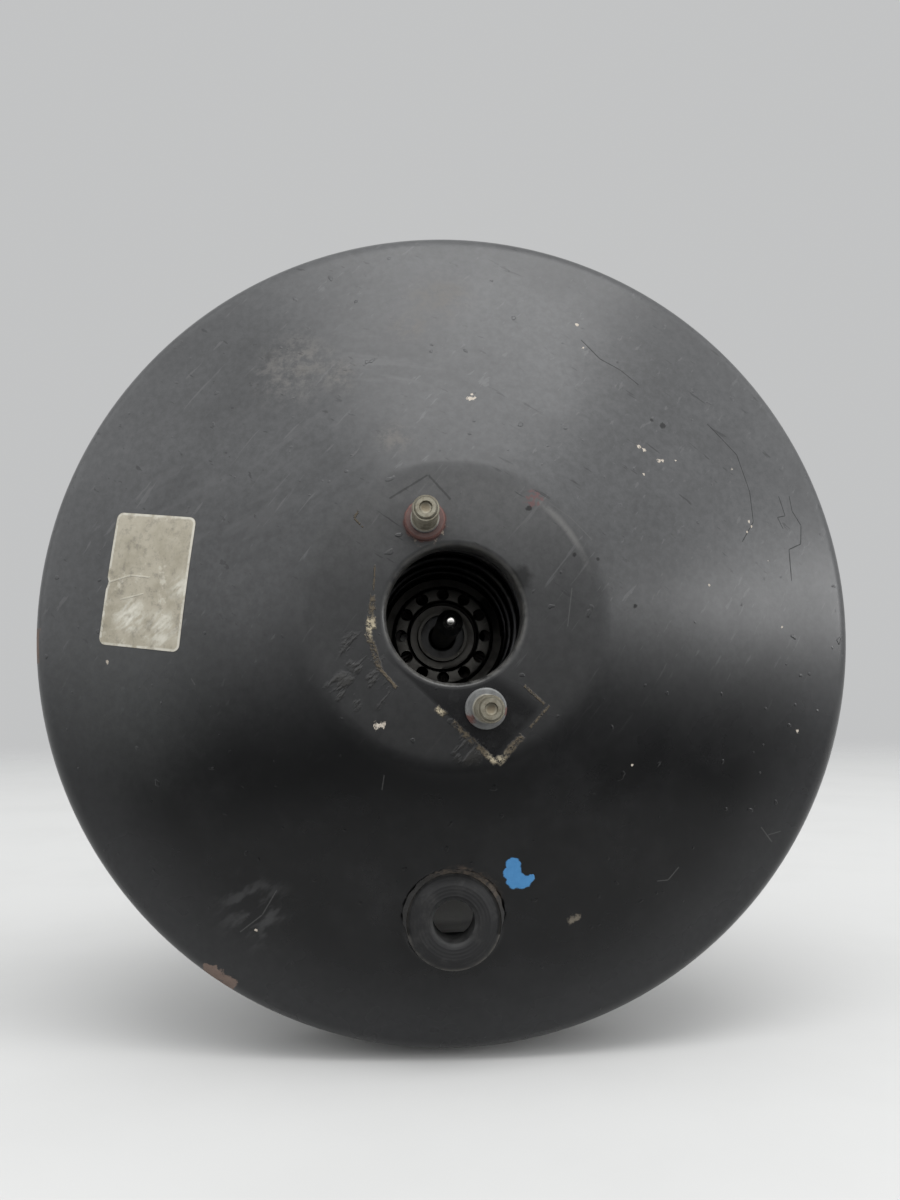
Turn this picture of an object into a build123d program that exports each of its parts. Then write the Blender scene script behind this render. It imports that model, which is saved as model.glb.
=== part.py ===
from build123d import *
import math
import os

# Single-diaphragm vacuum brake booster, seen on the bench with its master cylinder taken off.
# Every piece is drawn about its own axis, which is Z while it is drawn: Z is zero on the face that bolts
# to the bulkhead and grows towards the master cylinder. X is to the right and Y is up for someone who
# looks at the master cylinder side. The last step turns that axis level, so that the master cylinder side
# faces -Y and the pedal side faces +Y, as the booster sits in a car. All sizes are in millimetres.

# Fits
SEAT = 0.05  # gap between fitted pieces that don't move against each other
RUN = 0.15  # radial gap of a sliding fit
CLEAR = 0.3  # room between pieces that pass each other
OVERLAP = 1.0  # how far one stretch of a moulding runs into the next, and a cut past what it cuts

# Front shell, the drawn steel dish that carries the master cylinder
SHELL_SHEET = 1.5
WALL_RADIUS = 140.0
PAD_MARGIN = 3.3  # of pad around the plate behind it
PAD_EDGE_RADIUS = 14.0
CONE_DROP = 35.0  # from the pad down to where the cone's line meets the wall's line
WALL_LENGTH = 20.5  # of the straight wall between that line and the rim's flare
SHOULDER_RADIUS = 8.0
RIM_FLARE = 3.0  # the open end is larger than the wall by this
RIM_SKIRT = 3.0  # length of rim behind the rear shell's flange
RIM_BEND_RADIUS = 2.5
SPIGOT_RADIUS = 21.0
SPIGOT_LENGTH = 9.0
SPIGOT_LEAD_RADIUS = 2.0

# Lanced tabs that lock the two shells together
TAB_COUNT = 20
TAB_WIDTH = 14.0
TAB_LENGTH = 5.0
TAB_SHEET = 1.8
TAB_GAP = 0.2
TAB_DENT = 0.7  # depth of the dent that bending a tab in leaves on the rim

# Rear shell, the drawn steel cover that bolts to the bulkhead
SEAL_WIDTH = 4.5  # room for the seal between the valve body's tube and the neck
NECK_LENGTH = 22.0
NECK_BEND_RADIUS = 3.0
MOUNT_FACE_RADIUS = 64.0
MOUNT_EDGE_RADIUS = 10.0
DISH_INSET = 9.0  # of the dish inside the front shell's wall
DISH_HEIGHT = 34.0
DISH_CORNER_RADIUS = 12.0
DISH_WALL = 14.0  # from the dish's corner to its flange
FLANGE_BEND_RADIUS = 2.0

# Studs
THREAD_RADIUS = 4.0
THREAD_CHAMFER = 1.0
FRONT_STUD_SPACING = 60.0
FRONT_STUD_ANGLE = 107.6  # of the line through both studs, counted from +X
FRONT_STUD_LENGTH = 20.0
COLLAR_RADIUS = 6.2
COLLAR_HEIGHT = 3.0
SHOULDER_HEIGHT = 2.0
SHOULDER_STUD_RADIUS = 4.4
DIMPLE_RADIUS = 1.9
DIMPLE_DEPTH = 1.2
BACKING_SHEET = 4.0
BACKING_MARGIN = 6.5  # of plate around each stud's collar
REAR_STUD_SPACING_X = 80.0
REAR_STUD_SPACING_Y = 66.0
REAR_STUD_LENGTH = 30.0
REAR_HEAD_RADIUS = 8.0
REAR_HEAD_HEIGHT = 2.8
REAR_SHANK_RADIUS = 4.6  # of the press-in length inside the sheet

# Check-valve grommet and the flat seat that is pressed into the cone for it
GROMMET_INSET = 46.0  # of the grommet's middle inside the front shell's wall
GROMMET_BORE_RADIUS = 6.5
GROMMET_RADIUS = 15.0
GROMMET_FACE_RADIUS = 11.2
GROMMET_PROUD = 5.5
GROMMET_EDGE = 3.4
GROMMET_WAIST_RADIUS = 10.0
GROMMET_TAIL_RADIUS = 12.5
GROMMET_TAIL = 4.5
GROMMET_LEAD = 1.4
GROMMET_EDGE_RADIUS = 1.2
GROMMET_LEAD_RADIUS = 0.5
GROMMET_SEAT_MARGIN = 0.8
GROMMET_SEAT_SINK = 1.0  # of the seat below the cone at the seat's middle

# Valve body, the moulded hub of the power piston
REST_GAP = 1.5  # between the hub and the rear shell at rest
TUBE_WALL = 3.5
TUBE_REACH = 64.0  # behind the bulkhead face
HUB_FLANGE = 7.0  # of the hub beyond the tube
HUB_LENGTH = 13.0
HUB_LIP = 1.8
BEAD_GROOVE_WIDTH = 3.2
BEAD_GROOVE_DEPTH = 2.0
WELL_DEPTH = 4.0
RECESS_RADIUS = 12.0
RECESS_DEPTH = 12.5
PLUNGER_RADIUS = 7.0
VALVE_WEB_REAR = -14.7  # rear face of the web that holds the plunger
VACUUM_SEAT_WIDTH = 1.4
VACUUM_SEAT_INSET = 2.4  # of the vacuum seat inside the tube's bore
VALVE_SEAT_GAP = 2.5  # between the vacuum seat and the air seat
PASSAGE_COUNT = 6
PASSAGE_RADIUS = 2.2
KEY_SHEET = 2.2
KEY_WIDTH = 14.0
KEY_PROUD = 2.5  # of the key beyond the tube on either side
KEY_DEPTH = 3.4  # of the key's front face behind the hub's rear face

# Strokes
POWER_STROKE = 34.0
VALVE_STROKE = 2.0
SWIVEL_DEGREES = 4.0

# Perforated spring seat
SPRING_SEAT_SHEET = 1.2
COLLAR_BORE_RADIUS = 9.0
COLLAR_REACH = 5.8
SEAT_WELL_MARGIN = 1.6  # of the well around the push rod's head
SEAT_WEB_ROOM = 3.1  # between the raised web and the spring's wire
SEAT_WEB_HEIGHT = 6.0
SEAT_FLANGE_MARGIN = 2.2  # of the flange outside the spring's wire
SEAT_BEND_RADIUS = 1.6
SEAT_CREASE_RADIUS = 0.4
SEAT_HOLE_COUNT = 12
SEAT_HOLE_RADIUS = 2.5

# Output push rod and reaction disc
REACTION_DISC_HEIGHT = 2.5
ROD_HEAD_HEIGHT = 5.6
ROD_RADIUS = 4.5
ROD_TIP_DEPTH = 25.0  # of the tip below the pad at rest
ROD_NOSE_RADIUS = 2.6
ROD_NOSE_LENGTH = 4.0
ROD_TAPER_LENGTH = 5.0
ROD_HEAD_EDGE_RADIUS = 0.6
ROD_HEAD_FILLET_RADIUS = 1.5
ROD_TAPER_BLEND_RADIUS = 2.0
ROD_NOSE_BLEND_RADIUS = 1.5
ROD_DOME_SHARE = 0.9  # of the nose's radius that is rounded into the tip

# Return spring
SPRING_INSET = 0.5  # of the wire's middle inside the hub's edge
SPRING_WIRE = 3.6
SPRING_TURNS = 6.0

# Diaphragm and its plate
DIAPHRAGM_SHEET = 1.8
DIAPHRAGM_REAR = 6.0  # its rear face above the bulkhead face, inside the mounting circle
DIAPHRAGM_FLAT_INSET = 4.0  # of its flat part inside the mounting face's edge
DIAPHRAGM_BEND_RADIUS = 3.0
ROLL_INSET = 10.0  # of the roll inside the rear shell's dish
ROLL_GAP = 9.0  # from the plate's edge to the roll
OUTER_BEAD_WIDTH = 7.8
OUTER_BEAD_HEIGHT = 7.0
BEAD_EDGE_RADIUS = 1.0
BEAD_FRONT_RADIUS = 2.0
PLATE_SHEET = 1.2
PLATE_RIM_HEIGHT = 9.0
PLATE_BEND_RADIUS = 4.0

# Guide and seal in the neck
BUSH_FRONT = -5.0
BUSH_LENGTH = 5.0
SEAL_LENGTH = 8.0
SEAL_LIP = 1.2
RETAINER_SHEET = 1.4
RETAINER_ROOM = 0.8

# Control valve
PLUNGER_NOSE_STEP = 1.5
PLUNGER_GROOVE_DEPTH = 3.0
AIR_SEAT_LIP = 2.2
AIR_SEAT_HEIGHT = 2.0
BALL_RADIUS = 4.5
BALL_HEIGHT = -13.0
POPPET_LAP = 2.4  # of the poppet's face inside the air seat's edge
POPPET_FACE_SHEET = 2.0
POPPET_ROOM = 0.9  # between the poppet's wall and the tube
POPPET_LENGTH = 12.0
POPPET_WALL = 1.6
POPPET_FLANGE = 2.0
POPPET_SPRING_ROOM = 1.8  # between the poppet's wall and its spring
POPPET_SPRING_WIRE = 1.2
POPPET_SPRING_TURNS = 3.0
POPPET_RETAINER_SHEET = 1.2
INPUT_SPRING_STEP = 1.2  # of the input spring inside the poppet's spring
INPUT_SPRING_WIRE = 1.6
INPUT_SPRING_TURNS = 4.0
INPUT_SPRING_LENGTH = 17.0
CUP_SHEET = 1.2
CUP_ROOM = 0.8  # between the input spring and the cup's rim
CUP_RIM = 2.4
FELT_LENGTH = 2.0
FILTER_LENGTH = 4.0
FILTER_ROOM = 4.2  # for the input rod's swing

# Input rod, lock nut and clevis
INPUT_NECK_RADIUS = 3.2
INPUT_NECK_LENGTH = 13.0
INPUT_ROD_RADIUS = 5.0
INPUT_COLLAR_RADIUS = 7.0
INPUT_COLLAR_LENGTH = 2.0
NUT_FLATS = 17.0
NUT_LENGTH = 6.0
NUT_CHAMFER = 1.0
NUT_FRONT = -84.0
CLEVIS_SHANK_RADIUS = 9.0
CLEVIS_SHANK_LENGTH = 14.0
CLEVIS_BRIDGE = 8.0
CLEVIS_GAP = 12.0
CLEVIS_EAR = 5.0
CLEVIS_EAR_HEIGHT = 18.0
CLEVIS_PIN_RADIUS = 4.1
CLEVIS_PIN_REACH = 9.0  # from the bottom of the gap to the pin hole

# Dust boot
BOOT_SHEET = 1.6
BOOT_CUFF_LENGTH = 13.0
BOOT_FOLD_PITCH = 7.6  # at least, of one fold
BOOT_PEAK_RISE = 4.5  # of the folds' outer edges beyond the neck
BOOT_VALLEY_DROP = 1.0  # of their inner edges inside it
BOOT_END_ROOM = 4.8  # for the input rod's swing
BOOT_END_COLLAR = 5.0
BOOT_BEND_RADIUS = 1.7

# Heights and radii that follow from the sizes above
rim_radius = WALL_RADIUS + RIM_FLARE
rim_bore_radius = rim_radius - SHELL_SHEET
dish_radius = WALL_RADIUS - DISH_INSET
flange_height = DISH_HEIGHT + DISH_WALL
flange_front = flange_height + SHELL_SHEET
rim_end = flange_height - RIM_SKIRT
rim_step = flange_front + OUTER_BEAD_HEIGHT + 2 * SHELL_SHEET
shoulder_height = rim_step + RIM_FLARE + WALL_LENGTH
pad_height = shoulder_height + CONE_DROP
pad_inside = pad_height - SHELL_SHEET
backing_inside = pad_inside - BACKING_SHEET
backing_radius = FRONT_STUD_SPACING / 2 + COLLAR_RADIUS + BACKING_MARGIN
pad_radius = backing_radius + PAD_MARGIN
cone_slope = CONE_DROP / (WALL_RADIUS - pad_radius)
grommet_place_radius = WALL_RADIUS - GROMMET_INSET
air_seat_radius = PLUNGER_RADIUS + AIR_SEAT_LIP
vacuum_seat_bore_radius = air_seat_radius + VALVE_SEAT_GAP
vacuum_seat_radius = vacuum_seat_bore_radius + VACUUM_SEAT_WIDTH
tube_bore_radius = vacuum_seat_radius + VACUUM_SEAT_INSET
tube_radius = tube_bore_radius + TUBE_WALL
neck_bore_radius = tube_radius + SEAL_WIDTH
neck_radius = neck_bore_radius + SHELL_SHEET
hub_radius = tube_radius + HUB_FLANGE
spring_radius = hub_radius - SPRING_INSET
seat_well_radius = RECESS_RADIUS + SEAT_WELL_MARGIN
key_reach = tube_radius + KEY_PROUD
plunger_nose_radius = PLUNGER_RADIUS - PLUNGER_NOSE_STEP
plunger_groove_radius = PLUNGER_RADIUS - PLUNGER_GROOVE_DEPTH
poppet_bore_radius = air_seat_radius - POPPET_LAP
poppet_radius = tube_bore_radius - POPPET_ROOM
poppet_spring_radius = poppet_radius - POPPET_WALL - POPPET_SPRING_ROOM - POPPET_SPRING_WIRE / 2
input_spring_radius = poppet_spring_radius - INPUT_SPRING_STEP
poppet_retainer_bore_radius = input_spring_radius - INPUT_SPRING_WIRE / 2
cup_radius = input_spring_radius + INPUT_SPRING_WIRE / 2 + CUP_ROOM
filter_bore_radius = INPUT_ROD_RADIUS + FILTER_ROOM
boot_peak_radius = neck_radius + BOOT_PEAK_RISE
boot_valley_radius = neck_radius - BOOT_VALLEY_DROP
boot_end_radius = INPUT_ROD_RADIUS + BOOT_END_ROOM
hub_rear = SHELL_SHEET + REST_GAP
hub_front = hub_rear + HUB_LENGTH
well_radius = seat_well_radius + SPRING_SEAT_SHEET + CLEAR
well_floor = hub_front - WELL_DEPTH
recess_floor = hub_front - RECESS_DEPTH
bead_groove_rear = hub_rear + HUB_LIP
bead_groove_front = bead_groove_rear + BEAD_GROOVE_WIDTH
bead_groove_radius = hub_radius - BEAD_GROOVE_DEPTH
key_front = hub_rear - KEY_DEPTH
key_rear = key_front - KEY_SHEET
spring_floor = hub_front + SPRING_SEAT_SHEET
web_front = spring_floor + SEAT_WEB_HEIGHT - SPRING_SEAT_SHEET
seat_web_radius = spring_radius - SPRING_WIRE / 2 - SEAT_WEB_ROOM
seat_flange_radius = spring_radius + SPRING_WIRE / 2 + SEAT_FLANGE_MARGIN
seat_hole_place_radius = (seat_well_radius + seat_web_radius) / 2
dish_slope = DISH_HEIGHT / (dish_radius - MOUNT_FACE_RADIUS)
diaphragm_flat_radius = MOUNT_FACE_RADIUS - DIAPHRAGM_FLAT_INSET
roll_radius = dish_radius - ROLL_INSET
roll_height = flange_front + OUTER_BEAD_HEIGHT / 2
plate_radius = roll_radius - ROLL_GAP
vacuum_seat_height = AIR_SEAT_HEIGHT + VALVE_STROKE + CLEAR
air_seat_rear = VALVE_WEB_REAR - vacuum_seat_height
poppet_front = air_seat_rear - CLEAR
poppet_rear = poppet_front - POPPET_LENGTH
retainer_rear = poppet_rear - SEAT - POPPET_RETAINER_SHEET
input_spring_front = retainer_rear - SEAT
cup_front = input_spring_front - INPUT_SPRING_LENGTH
cup_rear = cup_front - CUP_SHEET
input_collar_front = cup_rear - SEAT
tube_end = -TUBE_REACH
filter_rear = tube_end + CLEAR
filter_front = filter_rear + FILTER_LENGTH
felt_front = filter_front + SEAT + FELT_LENGTH
clevis_front = NUT_FRONT - NUT_LENGTH - SEAT
clevis_bridge_front = clevis_front - CLEVIS_SHANK_LENGTH
clevis_gap_front = clevis_bridge_front - CLEVIS_BRIDGE
pin_height = clevis_gap_front - CLEVIS_PIN_REACH
rod_end = clevis_bridge_front


def section(points, radii=None):
    """A face in the radius-height plane from its corners, each with its own rounding."""
    radii = radii or [0] * len(points)
    return make_face(Plane.XZ * FilletPolyline(*points, radius=radii, close=True))


def turned(points, radii=None):
    """The solid that a section sweeps about the axis."""
    return revolve(section(points, radii), axis=Axis.Z)


def sheet_corners(points, radii, thickness):
    """Corners and roundings of a pressed sheet: the drawn side, and the same line moved to its right."""
    steps = [(Vector(*b) - Vector(*a)).normalized() for a, b in zip(points, points[1:])]
    normals = [Vector(s.Y, -s.X) for s in steps]
    moved = [Vector(*points[0]) + normals[0] * thickness]
    moved_radii = []
    for corner, radius, before, after in zip(points[1:-1], radii, range(len(steps)), range(1, len(steps))):
        mitre = (normals[before] + normals[after]) / (1 + normals[before].dot(normals[after]))
        moved.append(Vector(*corner) + mitre * thickness)
        turns_right = steps[before].cross(steps[after]).Z < 0
        moved_radii.append(max(0, radius - thickness) if turns_right else radius + thickness)
    moved.append(Vector(*points[-1]) + normals[-1] * thickness)
    far_side = [(v.X, v.Y) for v in reversed(moved)]
    return list(points) + far_side, [0, *radii, 0, 0, *reversed(moved_radii), 0]


def pressed(points, radii, thickness):
    """A round pressing of even thickness."""
    return turned(*sheet_corners(points, radii, thickness))


def post(radius, bottom, top):
    """A cylinder on the axis between two heights."""
    return Pos(0, 0, (bottom + top) / 2) * Cylinder(radius, top - bottom)


def ring(inner_radius, outer_radius, bottom, top):
    """A plain ring on the axis between two heights."""
    return post(outer_radius, bottom, top) - post(inner_radius, bottom, top)


def coil(radius, wire, bottom, top, turns):
    """A helical spring whose wire just fits between two heights."""
    height = top - bottom - wire - 2 * SEAT
    path = Helix(pitch=height / turns, height=height, radius=radius)
    wire_section = Plane(path @ 0, z_dir=path % 0) * Circle(wire / 2)
    return Pos(0, 0, bottom + wire / 2 + SEAT) * sweep(wire_section, path=path, is_frenet=True)


def around(count, radius, shape):
    """Copies of a shape evenly round the axis."""
    return [place * shape for place in PolarLocations(radius, count)]


def cone_height(radius):
    """Height of the front shell's conical face at a radius."""
    return pad_height - cone_slope * (radius - pad_radius)


grommet_place = Pos(0, -grommet_place_radius, 0)
grommet_seat = cone_height(grommet_place_radius) - GROMMET_SEAT_SINK
grommet_seat_radius = GROMMET_RADIUS + GROMMET_SEAT_MARGIN
front_stud_places = [
    Pos(0, 0, pad_height) * place
    for place in PolarLocations(FRONT_STUD_SPACING / 2, 2, start_angle=FRONT_STUD_ANGLE)
]
rear_stud_places = list(GridLocations(REAR_STUD_SPACING_X, REAR_STUD_SPACING_Y, 2, 2))


def front_profile():
    """The outside of the front shell, from the inner end of its spigot bore to the end of its rim."""
    points = [
        (SPIGOT_RADIUS, pad_height - SPIGOT_LENGTH),
        (SPIGOT_RADIUS, pad_height),
        (pad_radius, pad_height),
        (WALL_RADIUS, shoulder_height),
        (WALL_RADIUS, rim_step + RIM_FLARE),
        (rim_radius, rim_step),
        (rim_radius, rim_end),
    ]
    radii = [SPIGOT_LEAD_RADIUS, PAD_EDGE_RADIUS, SHOULDER_RADIUS, RIM_BEND_RADIUS, RIM_BEND_RADIUS]
    return points, radii


def grommet_seat_sheet():
    """The flat seat for the grommet: its floor, and the wall that joins it to the cone all round."""
    reach = 2 * grommet_seat_radius * cone_slope
    floor = grommet_seat - SHELL_SHEET
    outer = grommet_seat_radius + SHELL_SHEET
    inner = grommet_seat_radius - SHELL_SHEET
    under_cone = turned([
        (0, rim_end), (WALL_RADIUS, rim_end), (WALL_RADIUS, shoulder_height),
        (pad_radius, pad_height), (0, pad_height),
    ])
    sheet_drop = SHELL_SHEET * math.hypot(1, cone_slope)
    under_sheet = Pos(0, 0, -sheet_drop) * under_cone
    sunk_wall = grommet_place * ring(grommet_seat_radius, outer, floor, grommet_seat + reach)
    raised_wall = grommet_place * ring(inner, grommet_seat_radius, floor - reach, grommet_seat)
    floor_disc = grommet_place * post(grommet_seat_radius, floor, grommet_seat)
    return (sunk_wall & under_cone) + (raised_wall - under_sheet) + floor_disc


def front_shell():
    """Drawn steel dish with the master cylinder's pad, the grommet's seat and the lanced rim."""
    shell = pressed(*front_profile(), SHELL_SHEET)
    reach = 2 * grommet_seat_radius * cone_slope
    floor = grommet_seat - SHELL_SHEET
    shell -= grommet_place * post(grommet_seat_radius, floor, grommet_seat + reach)
    shell -= grommet_place * post(grommet_seat_radius - SHELL_SHEET, floor - reach, grommet_seat)
    shell += grommet_seat_sheet()
    shell -= grommet_place * post(GROMMET_WAIST_RADIUS + SEAT, floor - reach, grommet_seat + reach)
    for place in front_stud_places:
        shell -= place * post(COLLAR_RADIUS + SEAT, -BACKING_SHEET, COLLAR_HEIGHT)
    tab_top = flange_height - TAB_GAP
    tab_middle = rim_bore_radius + SHELL_SHEET / 2 - TAB_LENGTH / 2
    tab = Pos(0, 0, tab_top - TAB_SHEET / 2) * Box(TAB_LENGTH, TAB_WIDTH, TAB_SHEET)
    dent = Pos(0, 0, tab_top - TAB_SHEET / 2) * Box(2 * TAB_DENT, TAB_WIDTH - 2 * TAB_SHEET, TAB_SHEET)
    for place in around(TAB_COUNT, rim_radius, dent):
        shell -= place
    return shell + around(TAB_COUNT, tab_middle, tab)


def rear_shell():
    """Drawn steel cover: flange, dished wall, flat bulkhead face and the neck that guides the valve body."""
    points = [
        (rim_bore_radius - CLEAR, flange_height),
        (dish_radius, flange_height),
        (dish_radius, DISH_HEIGHT),
        (MOUNT_FACE_RADIUS, 0),
        (neck_radius, 0),
        (neck_radius, -NECK_LENGTH),
    ]
    radii = [FLANGE_BEND_RADIUS, DISH_CORNER_RADIUS, MOUNT_EDGE_RADIUS, NECK_BEND_RADIUS]
    shell = pressed(points, radii, SHELL_SHEET)
    for place in rear_stud_places:
        shell -= place * post(REAR_SHANK_RADIUS + SEAT, -SHELL_SHEET, 2 * SHELL_SHEET)
    return shell


def stud_backing_plate():
    """Thick ring behind the pad that the master cylinder studs are pressed into."""
    inner = SPIGOT_RADIUS + SHELL_SHEET + SEAT
    outer = backing_radius
    lead = SPIGOT_LEAD_RADIUS
    plate = turned([
        (inner, backing_inside), (outer, backing_inside), (outer, pad_inside),
        (inner + lead, pad_inside), (inner, pad_inside - lead),
    ])
    for place in front_stud_places:
        plate -= place * post(COLLAR_RADIUS + SEAT, -2 * BACKING_SHEET, 0)
    return plate


def master_cylinder_studs():
    """Two press-in studs: a knurled shank flush inside, a collar, a short shoulder and a threaded end."""
    length = FRONT_STUD_LENGTH
    foot = backing_inside - pad_height
    thread_start = COLLAR_HEIGHT + SHOULDER_HEIGHT
    stud = turned([
        (0, foot), (COLLAR_RADIUS, foot), (COLLAR_RADIUS, COLLAR_HEIGHT),
        (SHOULDER_STUD_RADIUS, COLLAR_HEIGHT), (SHOULDER_STUD_RADIUS, thread_start),
        (THREAD_RADIUS, thread_start),
        (THREAD_RADIUS, length - THREAD_CHAMFER), (THREAD_RADIUS - THREAD_CHAMFER, length),
        (DIMPLE_RADIUS, length), (0, length - DIMPLE_DEPTH),
    ])
    return [place * stud for place in front_stud_places]


def bulkhead_studs():
    """Four headed studs pressed through the rear shell from inside: head, press-in shank and thread."""
    head_front = SHELL_SHEET + REAR_HEAD_HEIGHT
    length = REAR_STUD_LENGTH
    stud = turned([
        (0, head_front), (REAR_HEAD_RADIUS, head_front), (REAR_HEAD_RADIUS, SHELL_SHEET + SEAT),
        (REAR_SHANK_RADIUS, SHELL_SHEET + SEAT), (REAR_SHANK_RADIUS, 0), (THREAD_RADIUS, 0),
        (THREAD_RADIUS, THREAD_CHAMFER - length), (THREAD_RADIUS - THREAD_CHAMFER, -length), (0, -length),
    ])
    return [place * stud for place in rear_stud_places]


def check_valve_grommet():
    """Moulded rubber bush for the vacuum check valve: outer flange, waist in the shell and inner flange."""
    floor = grommet_seat - SHELL_SHEET
    top = grommet_seat + GROMMET_PROUD
    tail = floor - SEAT - GROMMET_TAIL
    points = [
        (GROMMET_BORE_RADIUS, tail), (GROMMET_WAIST_RADIUS, tail),
        (GROMMET_TAIL_RADIUS, floor - SEAT), (GROMMET_WAIST_RADIUS, floor - SEAT),
        (GROMMET_WAIST_RADIUS, grommet_seat + SEAT), (GROMMET_RADIUS, grommet_seat + SEAT),
        (GROMMET_RADIUS, grommet_seat + GROMMET_EDGE), (GROMMET_FACE_RADIUS, top),
        (GROMMET_BORE_RADIUS + GROMMET_LEAD, top), (GROMMET_BORE_RADIUS, top - GROMMET_LEAD),
    ]
    edge = GROMMET_EDGE_RADIUS
    lead = GROMMET_LEAD_RADIUS
    return grommet_place * turned(points, [0, 0, 0, 0, 0, 0, edge, edge, lead, lead])


def neck_bush():
    """Plastic guide ring for the valve body's tube."""
    return ring(tube_radius + RUN, neck_bore_radius - SEAT, BUSH_FRONT - BUSH_LENGTH, BUSH_FRONT)


def neck_seal():
    """Rubber seal ring with two lips on the valve body's tube."""
    front = BUSH_FRONT - BUSH_LENGTH - SEAT
    rear = front - SEAL_LENGTH
    middle = (front + rear) / 2
    lip = tube_radius + RUN
    outer = neck_bore_radius - SEAT
    return turned([
        (outer, rear), (outer, front), (lip + SEAL_LIP, front), (lip, front - SEAL_LIP),
        (lip + SEAL_LIP, middle), (lip, rear + SEAL_LIP), (lip + SEAL_LIP, rear),
    ])


def neck_seal_retainer():
    """Steel washer pressed into the neck behind the seal."""
    front = BUSH_FRONT - BUSH_LENGTH - SEAL_LENGTH - 2 * SEAT
    return ring(tube_radius + RETAINER_ROOM, neck_bore_radius - SEAT, front - RETAINER_SHEET, front)


def valve_body():
    """Moulded hub and tube: seat for the diaphragm, recess for the push rod, bore for the plunger."""
    seat_inner = vacuum_seat_bore_radius
    seat_outer = vacuum_seat_radius
    bore = PLUNGER_RADIUS + SEAT
    body = turned([
        (tube_radius, tube_end), (tube_radius, hub_rear), (hub_radius, hub_rear),
        (hub_radius, bead_groove_rear), (bead_groove_radius, bead_groove_rear),
        (bead_groove_radius, bead_groove_front), (hub_radius, bead_groove_front),
        (hub_radius, hub_front), (well_radius, hub_front), (well_radius, well_floor),
        (RECESS_RADIUS, well_floor), (RECESS_RADIUS, recess_floor), (bore, recess_floor),
        (bore, VALVE_WEB_REAR), (seat_inner, VALVE_WEB_REAR), (seat_inner, air_seat_rear),
        (seat_outer, air_seat_rear), (seat_outer, VALVE_WEB_REAR), (tube_bore_radius, VALVE_WEB_REAR),
        (tube_bore_radius, tube_end),
    ])
    passage = post(PASSAGE_RADIUS, VALVE_WEB_REAR - OVERLAP, hub_front + OVERLAP)
    for hole in around(PASSAGE_COUNT, tube_bore_radius, passage):
        body -= hole
    slot_middle = (key_front + key_rear) / 2
    slot = Pos(0, 0, slot_middle) * Box(2 * hub_radius, KEY_WIDTH + 2 * CLEAR, KEY_SHEET + 2 * CLEAR)
    return body - slot


def diaphragm_plate():
    """Pressed steel plate that backs the diaphragm, gripped on the hub under the spring seat."""
    lift = DIAPHRAGM_SHEET + SEAT
    rear = DIAPHRAGM_REAR + lift
    inner = hub_radius + SEAT
    corner = diaphragm_flat_radius - lift * math.tan(math.atan(dish_slope) / 2)
    edge = rear + (plate_radius - corner) * dish_slope
    points = [
        (plate_radius, edge + PLATE_RIM_HEIGHT),
        (plate_radius, edge),
        (corner, rear),
        (inner, rear),
        (inner, hub_front - SEAT),
    ]
    return pressed(points, [PLATE_BEND_RADIUS, PLATE_BEND_RADIUS, PLATE_SHEET], PLATE_SHEET)


def diaphragm():
    """Rolling rubber diaphragm with a bead in the hub's groove and one clamped between the shells."""
    rear = DIAPHRAGM_REAR
    edge_height = rear + (plate_radius - diaphragm_flat_radius) * dish_slope
    roll_foot = edge_height + (roll_radius - plate_radius) * dish_slope
    bead_inner = rim_bore_radius - CLEAR - OUTER_BEAD_WIDTH
    points = [
        (bead_inner + OVERLAP, roll_height),
        (roll_radius, roll_height),
        (roll_radius, roll_foot),
        (diaphragm_flat_radius, rear),
        (bead_groove_radius + OVERLAP, rear),
    ]
    web = pressed(points, [DIAPHRAGM_BEND_RADIUS] * 3, DIAPHRAGM_SHEET)
    bead_outer = rim_bore_radius - CLEAR
    bead_front = flange_front + OUTER_BEAD_HEIGHT - CLEAR
    edge = BEAD_EDGE_RADIUS
    outer_bead = turned(
        [
            (bead_inner, flange_front), (bead_outer, flange_front),
            (bead_outer, bead_front), (bead_inner, bead_front),
        ],
        [edge, edge, BEAD_FRONT_RADIUS, edge],
    )
    bead_rear = bead_groove_rear + SEAT
    inner_bead = ring(bead_groove_radius + SEAT, hub_radius + OVERLAP, bead_rear, rear + DIAPHRAGM_SHEET)
    return web + outer_bead + inner_bead


def spring_seat():
    """Pressed hat that takes the return spring, holds the push rod's head and lets air through its holes."""
    collar = COLLAR_BORE_RADIUS + SPRING_SEAT_SHEET
    well = well_floor + SPRING_SEAT_SHEET
    points = [
        (collar, well + COLLAR_REACH), (collar, well), (seat_well_radius, well),
        (seat_well_radius, web_front), (seat_web_radius, web_front),
        (seat_web_radius, spring_floor), (seat_flange_radius, spring_floor),
    ]
    bend = SEAT_BEND_RADIUS
    crease = SEAT_CREASE_RADIUS
    hat = pressed(points, [crease, crease, bend, bend, crease], SPRING_SEAT_SHEET)
    hole = Pos(0, 0, web_front) * Cylinder(SEAT_HOLE_RADIUS, 2 * SEAT_WEB_HEIGHT)
    for place in around(SEAT_HOLE_COUNT, seat_hole_place_radius, hole):
        hat -= place
    return hat


def reaction_disc():
    """Rubber disc between the plunger and the push rod's head."""
    return post(RECESS_RADIUS - SEAT, recess_floor, recess_floor + REACTION_DISC_HEIGHT)


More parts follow.
